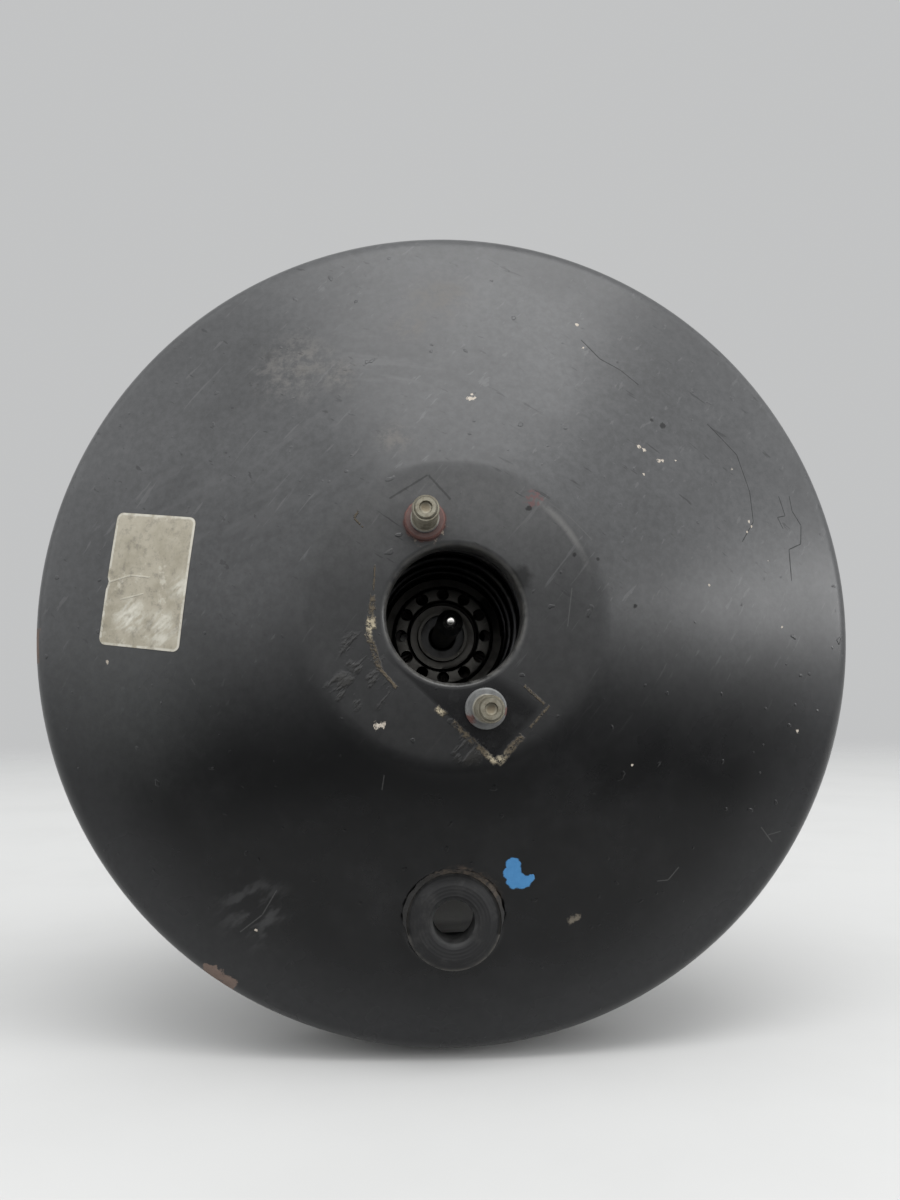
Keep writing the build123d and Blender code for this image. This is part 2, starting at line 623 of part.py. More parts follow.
def output_push_rod():
    """Headed steel rod with a tapered nose and a domed tip."""
    foot = recess_floor + REACTION_DISC_HEIGHT + SEAT
    tip = pad_height - ROD_TIP_DEPTH
    nose = tip - ROD_NOSE_LENGTH
    points = [
        (0, foot), (RECESS_RADIUS - SEAT, foot), (RECESS_RADIUS - SEAT, foot + ROD_HEAD_HEIGHT),
        (ROD_RADIUS, foot + ROD_HEAD_HEIGHT), (ROD_RADIUS, nose - ROD_TAPER_LENGTH),
        (ROD_NOSE_RADIUS, nose), (ROD_NOSE_RADIUS, tip), (0, tip),
    ]
    edge = ROD_HEAD_EDGE_RADIUS
    dome = ROD_NOSE_RADIUS * ROD_DOME_SHARE
    blends = [ROD_HEAD_FILLET_RADIUS, ROD_TAPER_BLEND_RADIUS, ROD_NOSE_BLEND_RADIUS]
    return turned(points, [0, edge, edge, *blends, dome, 0])


def return_spring():
    """Large coil spring between the backing plate and the spring seat."""
    return coil(spring_radius, SPRING_WIRE, spring_floor, backing_inside, SPRING_TURNS)


def stop_key():
    """Flat forked key through the valve body that limits the plunger's travel."""
    blank = Pos(0, 0, (key_front + key_rear) / 2) * Box(2 * key_reach, KEY_WIDTH, KEY_SHEET)
    mouth = plunger_groove_radius + RUN
    fork = Pos(key_reach / 2, 0, 0) * Box(key_reach, 2 * mouth, hub_radius)
    fork += Cylinder(mouth, hub_radius)
    return blank - fork


def control_plunger():
    """Turned steel spool: nose, key groove, guide and air seat, with a ball socket for the input rod."""
    nose = recess_floor - VALVE_STROKE - CLEAR
    groove_front = key_front + CLEAR
    groove_rear = key_rear - VALVE_STROKE - CLEAR
    socket = BALL_RADIUS + RUN
    spool = turned([
        (0, nose), (plunger_nose_radius, nose), (plunger_nose_radius, groove_front),
        (plunger_groove_radius, groove_front), (plunger_groove_radius, groove_rear),
        (PLUNGER_RADIUS, groove_rear), (PLUNGER_RADIUS, air_seat_rear + AIR_SEAT_HEIGHT),
        (air_seat_radius, air_seat_rear + AIR_SEAT_HEIGHT), (air_seat_radius, air_seat_rear),
        (0, air_seat_rear),
    ])
    spool -= Pos(0, 0, BALL_HEIGHT) * Sphere(socket)
    return spool - post(socket, air_seat_rear - OVERLAP, BALL_HEIGHT)


def poppet_valve():
    """Rubber valve: a face that meets both seats, a thin bellows wall and a fixed flange."""
    outer = tube_bore_radius - SEAT
    face_rear = poppet_front - POPPET_FACE_SHEET
    flange_front_height = poppet_rear + POPPET_FLANGE
    inner_wall = poppet_radius - POPPET_WALL
    return turned([
        (poppet_bore_radius, poppet_front), (poppet_radius, poppet_front),
        (poppet_radius, flange_front_height), (outer, flange_front_height),
        (outer, poppet_rear), (inner_wall, poppet_rear),
        (inner_wall, face_rear), (poppet_bore_radius, face_rear),
    ])


def poppet_spring():
    """Small coil spring that pushes the poppet's face forward."""
    top = poppet_front - POPPET_FACE_SHEET
    return coil(poppet_spring_radius, POPPET_SPRING_WIRE, poppet_rear - SEAT, top, POPPET_SPRING_TURNS)


def poppet_retainer():
    """Pressed ring that holds the poppet's flange and carries both small springs."""
    return ring(poppet_retainer_bore_radius, tube_bore_radius - SEAT, retainer_rear, poppet_rear - SEAT)


def input_return_spring():
    """Coil spring that brings the input rod and the plunger back."""
    return coil(input_spring_radius, INPUT_SPRING_WIRE, cup_front, input_spring_front, INPUT_SPRING_TURNS)


def input_spring_cup():
    """Pressed cup on the input rod's collar that the input return spring sits in."""
    bore = INPUT_ROD_RADIUS + SEAT
    points = [(bore, cup_front), (cup_radius, cup_front), (cup_radius, cup_front + CUP_RIM)]
    return pressed(points, [SEAT], CUP_SHEET)


def air_filter():
    """Foam ring in the rear of the tube."""
    return ring(filter_bore_radius, tube_bore_radius - SEAT, filter_rear, filter_front)


def silencer_felt():
    """Felt ring in front of the foam."""
    return ring(filter_bore_radius, tube_bore_radius - SEAT, filter_front + SEAT, felt_front)


def input_rod():
    """Forged rod: a ball in the plunger, a waist, a collar for the spring cup and a threaded end."""
    waist_end = BALL_HEIGHT - INPUT_NECK_LENGTH
    collar_rear = input_collar_front - INPUT_COLLAR_LENGTH
    shank = turned([
        (0, BALL_HEIGHT), (INPUT_NECK_RADIUS, BALL_HEIGHT), (INPUT_NECK_RADIUS, waist_end),
        (INPUT_ROD_RADIUS, waist_end - INPUT_ROD_RADIUS), (INPUT_ROD_RADIUS, input_collar_front),
        (INPUT_COLLAR_RADIUS, input_collar_front), (INPUT_COLLAR_RADIUS, collar_rear),
        (INPUT_ROD_RADIUS, collar_rear), (INPUT_ROD_RADIUS, rod_end + THREAD_CHAMFER),
        (INPUT_ROD_RADIUS - THREAD_CHAMFER, rod_end), (0, rod_end),
    ])
    return shank + Pos(0, 0, BALL_HEIGHT) * Sphere(BALL_RADIUS)


def locknut():
    """Hexagon nut that locks the clevis on the input rod."""
    rear = NUT_FRONT - NUT_LENGTH
    hexagon = RegularPolygon(NUT_FLATS / 2, 6, major_radius=False)
    blank = Pos(0, 0, rear) * extrude(hexagon, NUT_LENGTH)
    flat = NUT_FLATS / 2
    blank &= turned([
        (0, rear), (flat, rear), (flat + NUT_CHAMFER, rear + NUT_CHAMFER),
        (flat + NUT_CHAMFER, NUT_FRONT - NUT_CHAMFER), (flat, NUT_FRONT), (0, NUT_FRONT),
    ])
    return blank - post(INPUT_ROD_RADIUS + SEAT, rear - OVERLAP, NUT_FRONT + OVERLAP)


def clevis():
    """Forged fork that takes the brake pedal's pin."""
    width = CLEVIS_GAP + 2 * CLEVIS_EAR
    ear_length = clevis_bridge_front - pin_height
    side = Pos(0, pin_height + ear_length / 2) * Rectangle(CLEVIS_EAR_HEIGHT, ear_length)
    side += Pos(0, pin_height) * Circle(CLEVIS_EAR_HEIGHT / 2)
    fork = extrude(Plane.YZ * side, width / 2, both=True)
    gap_length = CLEVIS_PIN_REACH + CLEVIS_EAR_HEIGHT
    gap_middle = clevis_gap_front - gap_length / 2
    fork -= Pos(0, 0, gap_middle) * Box(CLEVIS_GAP, 2 * CLEVIS_EAR_HEIGHT, gap_length)
    fork += post(CLEVIS_SHANK_RADIUS, clevis_bridge_front - CLEVIS_BRIDGE / 2, clevis_front)
    fork -= Pos(0, 0, pin_height) * Rot(Y=90) * Cylinder(CLEVIS_PIN_RADIUS, 2 * width)
    return fork - post(INPUT_ROD_RADIUS + SEAT, rod_end - SEAT, clevis_front + OVERLAP)


def dust_boot():
    """Rubber bellows from the neck to the rear end of the valve body's tube."""
    cuff = neck_radius + SEAT + BOOT_SHEET
    end_collar = tube_radius + SEAT + BOOT_SHEET
    fold_top = -NECK_LENGTH - BOOT_SHEET
    fold_bottom = tube_end + BOOT_END_COLLAR
    folds = math.floor((fold_top - fold_bottom) / BOOT_FOLD_PITCH - 0.5)
    pitch = (fold_top - fold_bottom) / (folds + 0.5)
    points = [(cuff, BOOT_CUFF_LENGTH - NECK_LENGTH), (cuff, fold_top)]
    for fold in range(folds):
        points.append((boot_peak_radius, fold_top - (fold + 0.5) * pitch))
        points.append((boot_valley_radius, fold_top - (fold + 1) * pitch))
    rear = tube_end - SEAT - BOOT_SHEET
    points += [(end_collar, fold_bottom), (end_collar, rear), (boot_end_radius, rear)]
    radii = [BOOT_BEND_RADIUS] * (len(points) - 2)
    return pressed(points, radii, BOOT_SHEET)


NODES = {
    "front_shell": front_shell,
    "rear_shell": rear_shell,
    "stud_backing_plate": stud_backing_plate,
    "master_cylinder_studs": master_cylinder_studs,
    "bulkhead_studs": bulkhead_studs,
    "check_valve_grommet": check_valve_grommet,
    "neck_bush": neck_bush,
    "neck_seal": neck_seal,
    "neck_seal_retainer": neck_seal_retainer,
    "dust_boot": dust_boot,
    "diaphragm": diaphragm,
    "return_spring": return_spring,
    "valve_body": valve_body,
    "diaphragm_plate": diaphragm_plate,
    "spring_seat": spring_seat,
    "reaction_disc": reaction_disc,
    "output_push_rod": output_push_rod,
    "stop_key": stop_key,
    "poppet_valve": poppet_valve,
    "poppet_spring": poppet_spring,
    "poppet_retainer": poppet_retainer,
    "input_return_spring": input_return_spring,
    "silencer_felt": silencer_felt,
    "air_filter": air_filter,
    "control_plunger": control_plunger,
    "input_rod": input_rod,
    "input_spring_cup": input_spring_cup,
    "locknut": locknut,
    "clevis": clevis,
}


def main():
    """Builds every piece, turns its axis level and writes one file for each."""
    os.makedirs("parts", exist_ok=True)
    level = Rot(X=90)
    for name, make in NODES.items():
        made = make()
        solids = [s for shape in (made if isinstance(made, list) else [made]) for s in shape.solids()]
        export_step(Compound(children=[level * s for s in solids]), os.path.join("parts", name + ".step"))


main()
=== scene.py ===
"""A vacuum brake booster with its master cylinder taken off, dressed for the render."""
import math

import bmesh
import bpy
from mathutils import Matrix, Vector


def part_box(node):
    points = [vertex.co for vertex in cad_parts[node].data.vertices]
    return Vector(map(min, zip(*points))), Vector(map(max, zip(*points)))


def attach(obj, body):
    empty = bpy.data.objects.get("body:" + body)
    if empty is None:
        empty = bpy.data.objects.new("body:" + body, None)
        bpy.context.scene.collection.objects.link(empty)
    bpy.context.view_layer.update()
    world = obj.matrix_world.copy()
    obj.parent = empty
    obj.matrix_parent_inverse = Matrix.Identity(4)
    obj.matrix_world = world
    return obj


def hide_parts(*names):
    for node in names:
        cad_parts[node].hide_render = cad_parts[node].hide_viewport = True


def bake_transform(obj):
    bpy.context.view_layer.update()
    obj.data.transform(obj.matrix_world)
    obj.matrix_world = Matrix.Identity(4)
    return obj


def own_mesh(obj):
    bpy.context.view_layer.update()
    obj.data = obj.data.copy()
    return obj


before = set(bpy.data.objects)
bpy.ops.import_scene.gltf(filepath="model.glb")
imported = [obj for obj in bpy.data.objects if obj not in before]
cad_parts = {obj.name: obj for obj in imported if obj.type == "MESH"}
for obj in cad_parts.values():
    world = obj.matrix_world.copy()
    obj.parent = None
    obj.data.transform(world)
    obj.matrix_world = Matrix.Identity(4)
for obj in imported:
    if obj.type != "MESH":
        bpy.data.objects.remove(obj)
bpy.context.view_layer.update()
MM = 0.001

# Rear shell. The pressed steel cover that bolts to the bulkhead: a neck, a flat face, a dished wall and
# the flange that the front shell's tabs hold. It is dipped in black paint, and only the assembly line
# and the bulkhead ever touch it, so its paint is dusty but whole.


def bent(corners, radii, facets=10):
    """The line through the corners of a bent sheet, each corner rounded by its own radius."""
    line = [Vector(corners[0])]
    for before, corner, after, radius in zip(corners, corners[1:], corners[2:], radii):
        corner = Vector(corner)
        back = (Vector(before) - corner).normalized()
        ahead = (Vector(after) - corner).normalized()
        half = back.angle(ahead) / 2
        reach = radius / math.tan(half)
        middle = corner + (back + ahead).normalized() * radius / math.sin(half)
        start = corner + back * reach - middle
        end = corner + ahead * reach - middle
        turn = start.angle_signed(end)
        for step in range(facets + 1):
            angle = -turn * step / facets
            cosine, sine = math.cos(angle), math.sin(angle)
            turned = (start.x * cosine - start.y * sine, start.x * sine + start.y * cosine)
            line.append(middle + Vector(turned))
    line.append(Vector(corners[-1]))
    return line


def sheet_loop(line, thickness):
    """The closed outline of a sheet whose drawn side is the line; its other side lies to the right."""
    far_side = []
    for index, point in enumerate(line):
        ahead = line[min(index + 1, len(line) - 1)] - line[max(index - 1, 0)]
        before = (point - line[index - 1]).normalized() if index else ahead.normalized()
        after = (line[index + 1] - point).normalized() if index + 1 < len(line) else before
        mean = (before + after).normalized()
        far_side.append(point + Vector((mean.y, -mean.x)) * thickness / max(mean.dot(after), 0.3))
    return list(line) + far_side[::-1]


def divided(loop, longest, fine=None):
    """The same closed outline with its long straight runs cut up; fine gives a zone with shorter steps."""
    points = []
    for start, end in zip(loop, loop[1:] + loop[:1]):
        step = longest
        if fine and min(start.x, end.x) < fine[1] and max(start.x, end.x) > fine[0]:
            step = fine[2]
        count = max(1, math.ceil((end - start).length / step))
        points += [start.lerp(end, part / count) for part in range(count)]
    return points


def even_turn(columns):
    """Angles evenly round a full turn."""
    return [2 * math.pi * column / columns for column in range(columns)]


def lathe(name, loop, angles, centre=(0, 0), move=None):
    """A smooth closed mesh turned from an outline of radius and height, both in millimetres."""
    mesh = bpy.data.meshes.new(name)
    shaped = bmesh.new()
    rings = []
    for angle in angles:
        ring = []
        for point in loop:
            x = centre[0] + point.x * math.cos(angle)
            y = centre[1] + point.x * math.sin(angle)
            height = move(x, y, point.y) if move else point.y
            ring.append(shaped.verts.new((x * MM, -height * MM, y * MM)))
        rings.append(ring)
    for ring, following in zip(rings, rings[1:] + rings[:1]):
        for row in range(len(loop)):
            after = (row + 1) % len(loop)
            shaped.faces.new((ring[row], ring[after], following[after], following[row]))
    bmesh.ops.remove_doubles(shaped, verts=shaped.verts, dist=1e-6)
    bmesh.ops.recalc_face_normals(shaped, faces=shaped.faces)
    shaped.to_mesh(mesh)
    shaped.free()
    return mesh


def placed(name, mesh, body, material, slot, *nodes, crease=35):
    """Puts a finished mesh in the scene as a piece that moves with a body and stands for its solids."""
    mesh.shade_smooth()
    mesh.set_sharp_from_angle(angle=math.radians(crease))
    mesh.materials.clear()
    mesh.materials.append(material)
    piece = bpy.data.objects.new(name, mesh)
    bpy.context.scene.collection.objects.link(piece)
    if nodes:
        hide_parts(*nodes)
    if body:
        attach(piece, body)
    return piece


class Finish:
    """A procedural finish under construction: a shader, the piece's own coordinates and short node calls."""

    def __init__(self, name, colour, roughness, metallic=0.0):
        self.material = bpy.data.materials.new(name)
        self.material.use_nodes = True
        self.tree = self.material.node_tree
        self.shader = self.tree.nodes["Principled BSDF"]
        self.place = self.tree.nodes.new("ShaderNodeTexCoord").outputs["Object"]
        self.colour = colour
        self.roughness = roughness
        self.metallic = metallic
        self.height = None
        self.wobbles = {}

    def put(self, socket, value):
        if isinstance(value, bpy.types.NodeSocket):
            self.tree.links.new(value, socket)
        elif socket.type == "RGBA" and len(value) == 3:
            socket.default_value = (*value, 1)
        else:
            socket.default_value = value

    def sum(self, operation, first, second=0.0, third=0.0):
        node = self.tree.nodes.new("ShaderNodeMath")
        node.operation = operation
        for socket, value in zip(node.inputs, (first, second, third)):
            self.put(socket, value)
        return node.outputs[0]

    def vector(self, operation, first, second):
        node = self.tree.nodes.new("ShaderNodeVectorMath")
        node.operation = operation
        self.put(node.inputs[0], first)
        self.put(node.inputs[1], second)
        return node.outputs["Value" if operation in ("DISTANCE", "DOT_PRODUCT") else "Vector"]

    def stretched(self, scale, turn=(0, 0, 0), shift=(0, 0, 0)):
        """The piece's coordinates with a pattern drawn out along each axis, then turned and moved."""
        node = self.tree.nodes.new("ShaderNodeMapping")
        node.vector_type = "TEXTURE"
        self.put(node.inputs["Vector"], self.place)
        node.inputs["Scale"].default_value = scale
        node.inputs["Rotation"].default_value = turn
        node.inputs["Location"].default_value = shift
        return node.outputs[0]

    def noise(self, scale, detail=3.0, rough=0.5, place=None):
        node = self.tree.nodes.new("ShaderNodeTexNoise")
        self.put(node.inputs["Vector"], place or self.place)
        node.inputs["Scale"].default_value = scale
        node.inputs["Detail"].default_value = detail
        node.inputs["Roughness"].default_value = rough
        return node.outputs["Fac"]

    def ramp(self, value, low, high, out_low=0.0, out_high=1.0):
        node = self.tree.nodes.new("ShaderNodeMapRange")
        node.interpolation_type = "SMOOTHSTEP"
        names = ("Value", "From Min", "From Max", "To Min", "To Max")
        for name, given in zip(names, (value, low, high, out_low, out_high)):
            self.put(node.inputs[name], given)
        return node.outputs["Result"]

    def tinted(self, amount, first, second):
        """A colour between two others."""
        node = self.tree.nodes.new("ShaderNodeMix")
        node.data_type = "RGBA"
        self.put(node.inputs["Factor"], amount)
        self.put(node.inputs["A"], first)
        self.put(node.inputs["B"], second)
        return node.outputs["Result"]

    def tint(self, amount, colour):
        """Covers the colour so far with another one where the amount says."""
        self.colour = self.tinted(amount, self.colour, colour)

    def between(self, amount, first, second):
        """A number between two others."""
        node = self.tree.nodes.new("ShaderNodeMix")
        self.put(node.inputs["Factor"], amount)
        self.put(node.inputs["A"], first)
        self.put(node.inputs["B"], second)
        return node.outputs["Result"]

    def matt(self, amount, roughness):
        """Takes the roughness so far to another one where the amount says."""
        self.roughness = self.between(amount, self.roughness, roughness)

    def covered(self, amount):
        """Takes the metal's own reflection away where rust or dirt lies on it."""
        self.metallic = self.between(amount, self.metallic, 0.0)

    def raise_by(self, amount, millimetres):
        lift = self.sum("MULTIPLY", amount, millimetres * MM)
        self.height = self.sum("ADD", self.height, lift) if self.height else lift

    def fading(self, distance, reach, edge, ragged, scale):
        """One where the distance is small, none past a reach in millimetres, with a ragged edge."""
        if ragged:
            if scale not in self.wobbles:
                self.wobbles[scale] = self.sum("SUBTRACT", self.noise(scale, 4.0, 0.65), 0.5)
            distance = self.sum("MULTIPLY_ADD", self.wobbles[scale], 2 * ragged * reach * MM, distance)
        return self.ramp(distance, reach * MM, reach * (1 - edge) * MM)

    def spot(self, place, radius, edge=0.5, ragged=0.0, scale=300.0):
        """A round mark at a place on the piece."""
        distance = self.vector("DISTANCE", self.place, [value * MM for value in place])
        return self.fading(distance, radius, edge, ragged, scale)

    def streak(self, start, end, width, edge=0.5, ragged=0.0, scale=300.0):
        """A long mark on the front from one place to another, seen from ahead."""
        run = Vector((end[0] - start[0], 0, end[2] - start[2])) * MM
        middle = Vector((start[0] + end[0], 0, start[2] + end[2])) * MM / 2
        along = run.normalized()
        across = Vector((-along.z, 0, along.x))
        beside = self.sum("SUBTRACT", self.vector("DOT_PRODUCT", self.place, across), across.dot(middle))
        beside = self.sum("ABSOLUTE", beside)
        beyond = self.sum("SUBTRACT", self.vector("DOT_PRODUCT", self.place, along), along.dot(middle))
        beyond = self.sum("ABSOLUTE", beyond)
        beyond = self.sum("SUBTRACT", beyond, run.length / 2 - width / 2 * MM)
        return self.fading(self.sum("MAXIMUM", beside, beyond), width / 2, edge, ragged, scale)

    def most(self, marks):
        """The strongest of several marks."""
        whole = None
        for mark in marks:
            whole = self.sum("MAXIMUM", whole, mark) if whole else mark
        return whole

    def both(self, first, second):
        return self.sum("MULTIPLY", first, second)

    def strokes(self, angle, scale, length, shift, low, high):
        """Long soft marks across the front, leaning by an angle from upright."""
        place = self.stretched((1, 1, length), (0, math.radians(angle), 0), shift)
        return self.ramp(self.noise(scale, 3.0, 0.6, place), low, high)

    def done(self):
        self.put(self.shader.inputs["Base Color"], self.colour)
        self.put(self.shader.inputs["Roughness"], self.roughness)
        self.put(self.shader.inputs["Metallic"], self.metallic)
        if self.height:
            bump = self.tree.nodes.new("ShaderNodeBump")
            bump.inputs["Distance"].default_value = 1.0
            bump.inputs["Strength"].default_value = 1.0
            self.put(bump.inputs["Height"], self.height)
            self.put(self.shader.inputs["Normal"], bump.outputs["Normal"])
        return self.material


def dipped_paint(name):
    """Black dip paint on pressed steel: a slight skin, uneven gloss and a thin film of dust."""
    paint = Finish(name, (0.0036, 0.0037, 0.0040), 0.25)
    paint.shader.inputs["Specular IOR Level"].default_value = 0.24
    paint.matt(paint.ramp(paint.noise(22, 4, 0.6), 0.35, 0.7), 0.33)
    paint.tint(paint.ramp(paint.noise(60, 6, 0.65), 0.50, 0.85, 0, 0.25), (0.018, 0.018, 0.019))
    paint.raise_by(paint.noise(420, 2, 0.5), 0.008)
    return paint


SHEET = 1.5
FLANGE_RADIUS = 141.2
FLANGE_HEIGHT = 48
DISH_RADIUS = 131
DISH_HEIGHT = 34
BULKHEAD_FACE_RADIUS = 64
NECK_RADIUS = 25
NECK_LENGTH = 22
rear_line = bent(
    [(FLANGE_RADIUS, FLANGE_HEIGHT), (DISH_RADIUS, FLANGE_HEIGHT), (DISH_RADIUS, DISH_HEIGHT),
     (BULKHEAD_FACE_RADIUS, 0), (NECK_RADIUS, 0), (NECK_RADIUS, -NECK_LENGTH)],
    [2.0, 12.0, 10.0, 3.0],
)
rear_mesh = lathe("rear_shell_pressing", divided(sheet_loop(rear_line, SHEET), 6.0), even_turn(240))
rear_paint = dipped_paint("rear_shell_paint")
rear_paint.tint(rear_paint.ramp(rear_paint.noise(140, 5, 0.7), 0.6, 0.8, 0, 0.35), (0.10, 0.095, 0.085))
placed("rear_shell_pressing", rear_mesh, "housing", rear_paint.done(), "black_paint", "rear_shell")

# Bulkhead studs. Four plated M8 studs, headed on the inside and pressed through the rear shell, with
# rolled threads for the nuts behind the bulkhead.


def sizes_into(modifier, sizes):
    """Sets a tree's named sizes by the identifiers of their sockets."""
    for item in modifier.node_group.interface.items_tree:
        if item.item_type == "SOCKET" and item.in_out == "INPUT" and item.name in sizes:
            modifier[item.identifier] = sizes[item.name]


def new_tree(name, sizes):
    """An empty tree with a geometry input and output and one named input for each size."""
    tree = bpy.data.node_groups.new(name, "GeometryNodeTree")
    tree.interface.new_socket(name="Geometry", in_out="INPUT", socket_type="NodeSocketGeometry")
    for size in sizes:
        tree.interface.new_socket(name=size, in_out="INPUT", socket_type="NodeSocketFloat")
    tree.interface.new_socket(name="Geometry", in_out="OUTPUT", socket_type="NodeSocketGeometry")
    return tree, tree.nodes.new("NodeGroupInput"), tree.nodes.new("NodeGroupOutput")


def tree_sum(tree, operation, first, second):
    """A sum of two sockets or numbers in a tree."""
    node = tree.nodes.new("ShaderNodeMath")
    node.operation = operation
    for socket, value in zip(node.inputs, (first, second)):
        if isinstance(value, bpy.types.NodeSocket):
            tree.links.new(value, socket)
        else:
            socket.default_value = value
    return node.outputs[0]


def tree_mesh(name, tree, sizes, points):
    """Runs a tree on a few points and gives its result as a plain mesh."""
    start = bpy.data.meshes.new(name + "_points")
    start.from_pydata([[value * MM for value in point] for point in points], [], [])
    carrier = bpy.data.objects.new(name + "_carrier", start)
    bpy.context.scene.collection.objects.link(carrier)
    modifier = carrier.modifiers.new(name, "NODES")
    modifier.node_group = tree
    sizes_into(modifier, sizes)
    shaped = carrier.evaluated_get(bpy.context.evaluated_depsgraph_get())
    mesh = bpy.data.meshes.new_from_object(shaped)
    bpy.data.objects.remove(carrier)
    return mesh


def closing(tree, geometry, output, material):
    """Ends a tree: copies made real, and the finish set on them."""
    real = tree.nodes.new("GeometryNodeRealizeInstances")
    tree.links.new(geometry, real.inputs["Geometry"])
    finish = tree.nodes.new("GeometryNodeSetMaterial")
    tree.links.new(real.outputs["Geometry"], finish.inputs["Geometry"])
    finish.inputs["Material"].default_value = material
    tree.links.new(finish.outputs["Geometry"], output.inputs["Geometry"])


def thread_tree(name, material):
    """A rolled thread on every given point: a six-sided ridge wound along -Y or +Y."""
    sizes = ["Radius", "Pitch", "Length", "Ridge", "Turn"]
    tree, given, output = new_tree(name, sizes)
    spiral = tree.nodes.new("GeometryNodeCurveSpiral")
    spiral.inputs["Resolution"].default_value = 28
    rotations = tree_sum(tree, "DIVIDE", given.outputs["Length"], given.outputs["Pitch"])
    tree.links.new(rotations, spiral.inputs["Rotations"])
    tree.links.new(given.outputs["Radius"], spiral.inputs["Start Radius"])
    tree.links.new(given.outputs["Radius"], spiral.inputs["End Radius"])
    tree.links.new(given.outputs["Length"], spiral.inputs["Height"])
    upright = tree.nodes.new("GeometryNodeSetCurveNormal")
    upright.mode = "Z_UP"
    tree.links.new(spiral.outputs["Curve"], upright.inputs["Curve"])
    ridge = tree.nodes.new("GeometryNodeCurvePrimitiveCircle")
    ridge.inputs["Resolution"].default_value = 6
    tree.links.new(given.outputs["Ridge"], ridge.inputs["Radius"])
    wound = tree.nodes.new("GeometryNodeCurveToMesh")
    tree.links.new(upright.outputs["Curve"], wound.inputs["Curve"])
    tree.links.new(ridge.outputs["Curve"], wound.inputs["Profile Curve"])
    wound.inputs["Fill Caps"].default_value = True
    turn = tree.nodes.new("ShaderNodeCombineXYZ")
    tree.links.new(given.outputs["Turn"], turn.inputs["X"])
    copies = tree.nodes.new("GeometryNodeInstanceOnPoints")
    tree.links.new(given.outputs["Geometry"], copies.inputs["Points"])
    tree.links.new(wound.outputs["Mesh"], copies.inputs["Instance"])
    tree.links.new(turn.outputs["Vector"], copies.inputs["Rotation"])
    closing(tree, copies.outputs["Instances"], output, material)
    return tree


def zinc_plate(name, colour=(0.46, 0.46, 0.44), stain=0.35):
    """Zinc-plated steel gone dull: cloudy grey, white bloom and a few brown stains."""
    zinc = Finish(name, colour, 0.34, metallic=0.9)
    zinc.tint(zinc.ramp(zinc.noise(260, 4, 0.6), 0.4, 0.75, 0, 0.6), (0.30, 0.30, 0.29))
    bloom = zinc.ramp(zinc.noise(520, 5, 0.7), 0.56, 0.72, 0, 0.7)
    zinc.tint(bloom, (0.58, 0.57, 0.54))
    zinc.matt(bloom, 0.7)
    elsewhere = zinc.stretched((1, 1, 1), shift=(0.3, 0.1, 0.2))
    brown = zinc.ramp(zinc.noise(330, 5, 0.65, elsewhere), 0.58, 0.72, 0, stain)
    zinc.tint(brown, (0.10, 0.045, 0.022))
    zinc.matt(brown, 0.8)
    zinc.raise_by(zinc.noise(900, 3, 0.6), 0.02)
    return zinc


def joined(name, meshes):
    """One mesh out of several."""
    whole = bmesh.new()
    for mesh in meshes:
        whole.from_mesh(mesh)
    result = bpy.data.meshes.new(name)
    whole.to_mesh(result)
    whole.free()
    return result


THREAD_CORE = 3.45
THREAD_MIDDLE = 3.62
THREAD_PITCH = 1.25
THREAD_RIDGE = 0.38
rear_zinc = zinc_plate("bulkhead_stud_plating").done()
rear_places = [(x, y) for x in (-40, 40) for y in (-33, 33)]
rear_core = [Vector(point) for point in (
    (0, 4.3), (7.4, 4.3), (8, 3.7), (8, 1.55), (4.6, 1.55), (4.6, 0), (4, 0), (4, -1.5), (THREAD_CORE, -2.2),
    (THREAD_CORE, -29.2), (2.7, -30), (0, -30))]
rear_studs = [lathe("rear_stud", rear_core, even_turn(32), place) for place in rear_places]
rear_threads = tree_mesh(
    "rear_thread", thread_tree("rolled_thread_rear", rear_zinc),
    {"Radius": THREAD_MIDDLE * MM, "Pitch": THREAD_PITCH * MM, "Length": 26.5 * MM,
     "Ridge": THREAD_RIDGE * MM, "Turn": -math.pi / 2},
    [(x, 2.4, y) for x, y in rear_places])
placed("bulkhead_stud_set", joined("bulkhead_stud_set", rear_studs + [rear_threads]), "housing", rear_zinc,
       "zinc_steel", "bulkhead_studs")

# Guide, seal and washer in the neck. The valve body's tube slides in the bush, and the seal behind it
# keeps the vacuum in; a plated washer pressed into the neck holds both.


def smooth_copy(name, node, body, material, slot):
    """The solid's own mesh with its facets merged and shaded smooth."""
    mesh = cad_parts[node].data.copy()
    merged = bmesh.new()
    merged.from_mesh(mesh)
    bmesh.ops.remove_doubles(merged, verts=merged.verts, dist=2e-6)
    merged.to_mesh(mesh)
    merged.free()
    return placed(name, mesh, body, material, slot, node)


def black_rubber(name, grey=0.022, dust=0.5):
    """Moulded black rubber: matt, faintly grained, with pale dust rubbed into it."""
    rubber = Finish(name, (grey, grey, grey * 1.05), 0.62)
    rubber.tint(rubber.ramp(rubber.noise(170, 5, 0.7), 0.48, 0.8, 0, dust), (0.075, 0.073, 0.07))
    rubber.matt(rubber.ramp(rubber.noise(60, 3, 0.5), 0.4, 0.7), 0.8)
    rubber.raise_by(rubber.noise(1400, 2, 0.6), 0.015)
    return rubber


def moulded_resin(name, colour):
    """Moulded resin with short fibres in it: fine specks and a slightly uneven gloss."""
    resin = Finish(name, colour, 0.45)
    fibre = tuple(value * 2.2 for value in colour)
    resin.tint(resin.ramp(resin.noise(1500, 2, 0.6), 0.55, 0.75, 0, 0.5), fibre)
    resin.matt(resin.ramp(resin.noise(90, 3, 0.5), 0.4, 0.7), 0.6)
    resin.raise_by(resin.noise(800, 2, 0.5), 0.01)
    return resin.done()


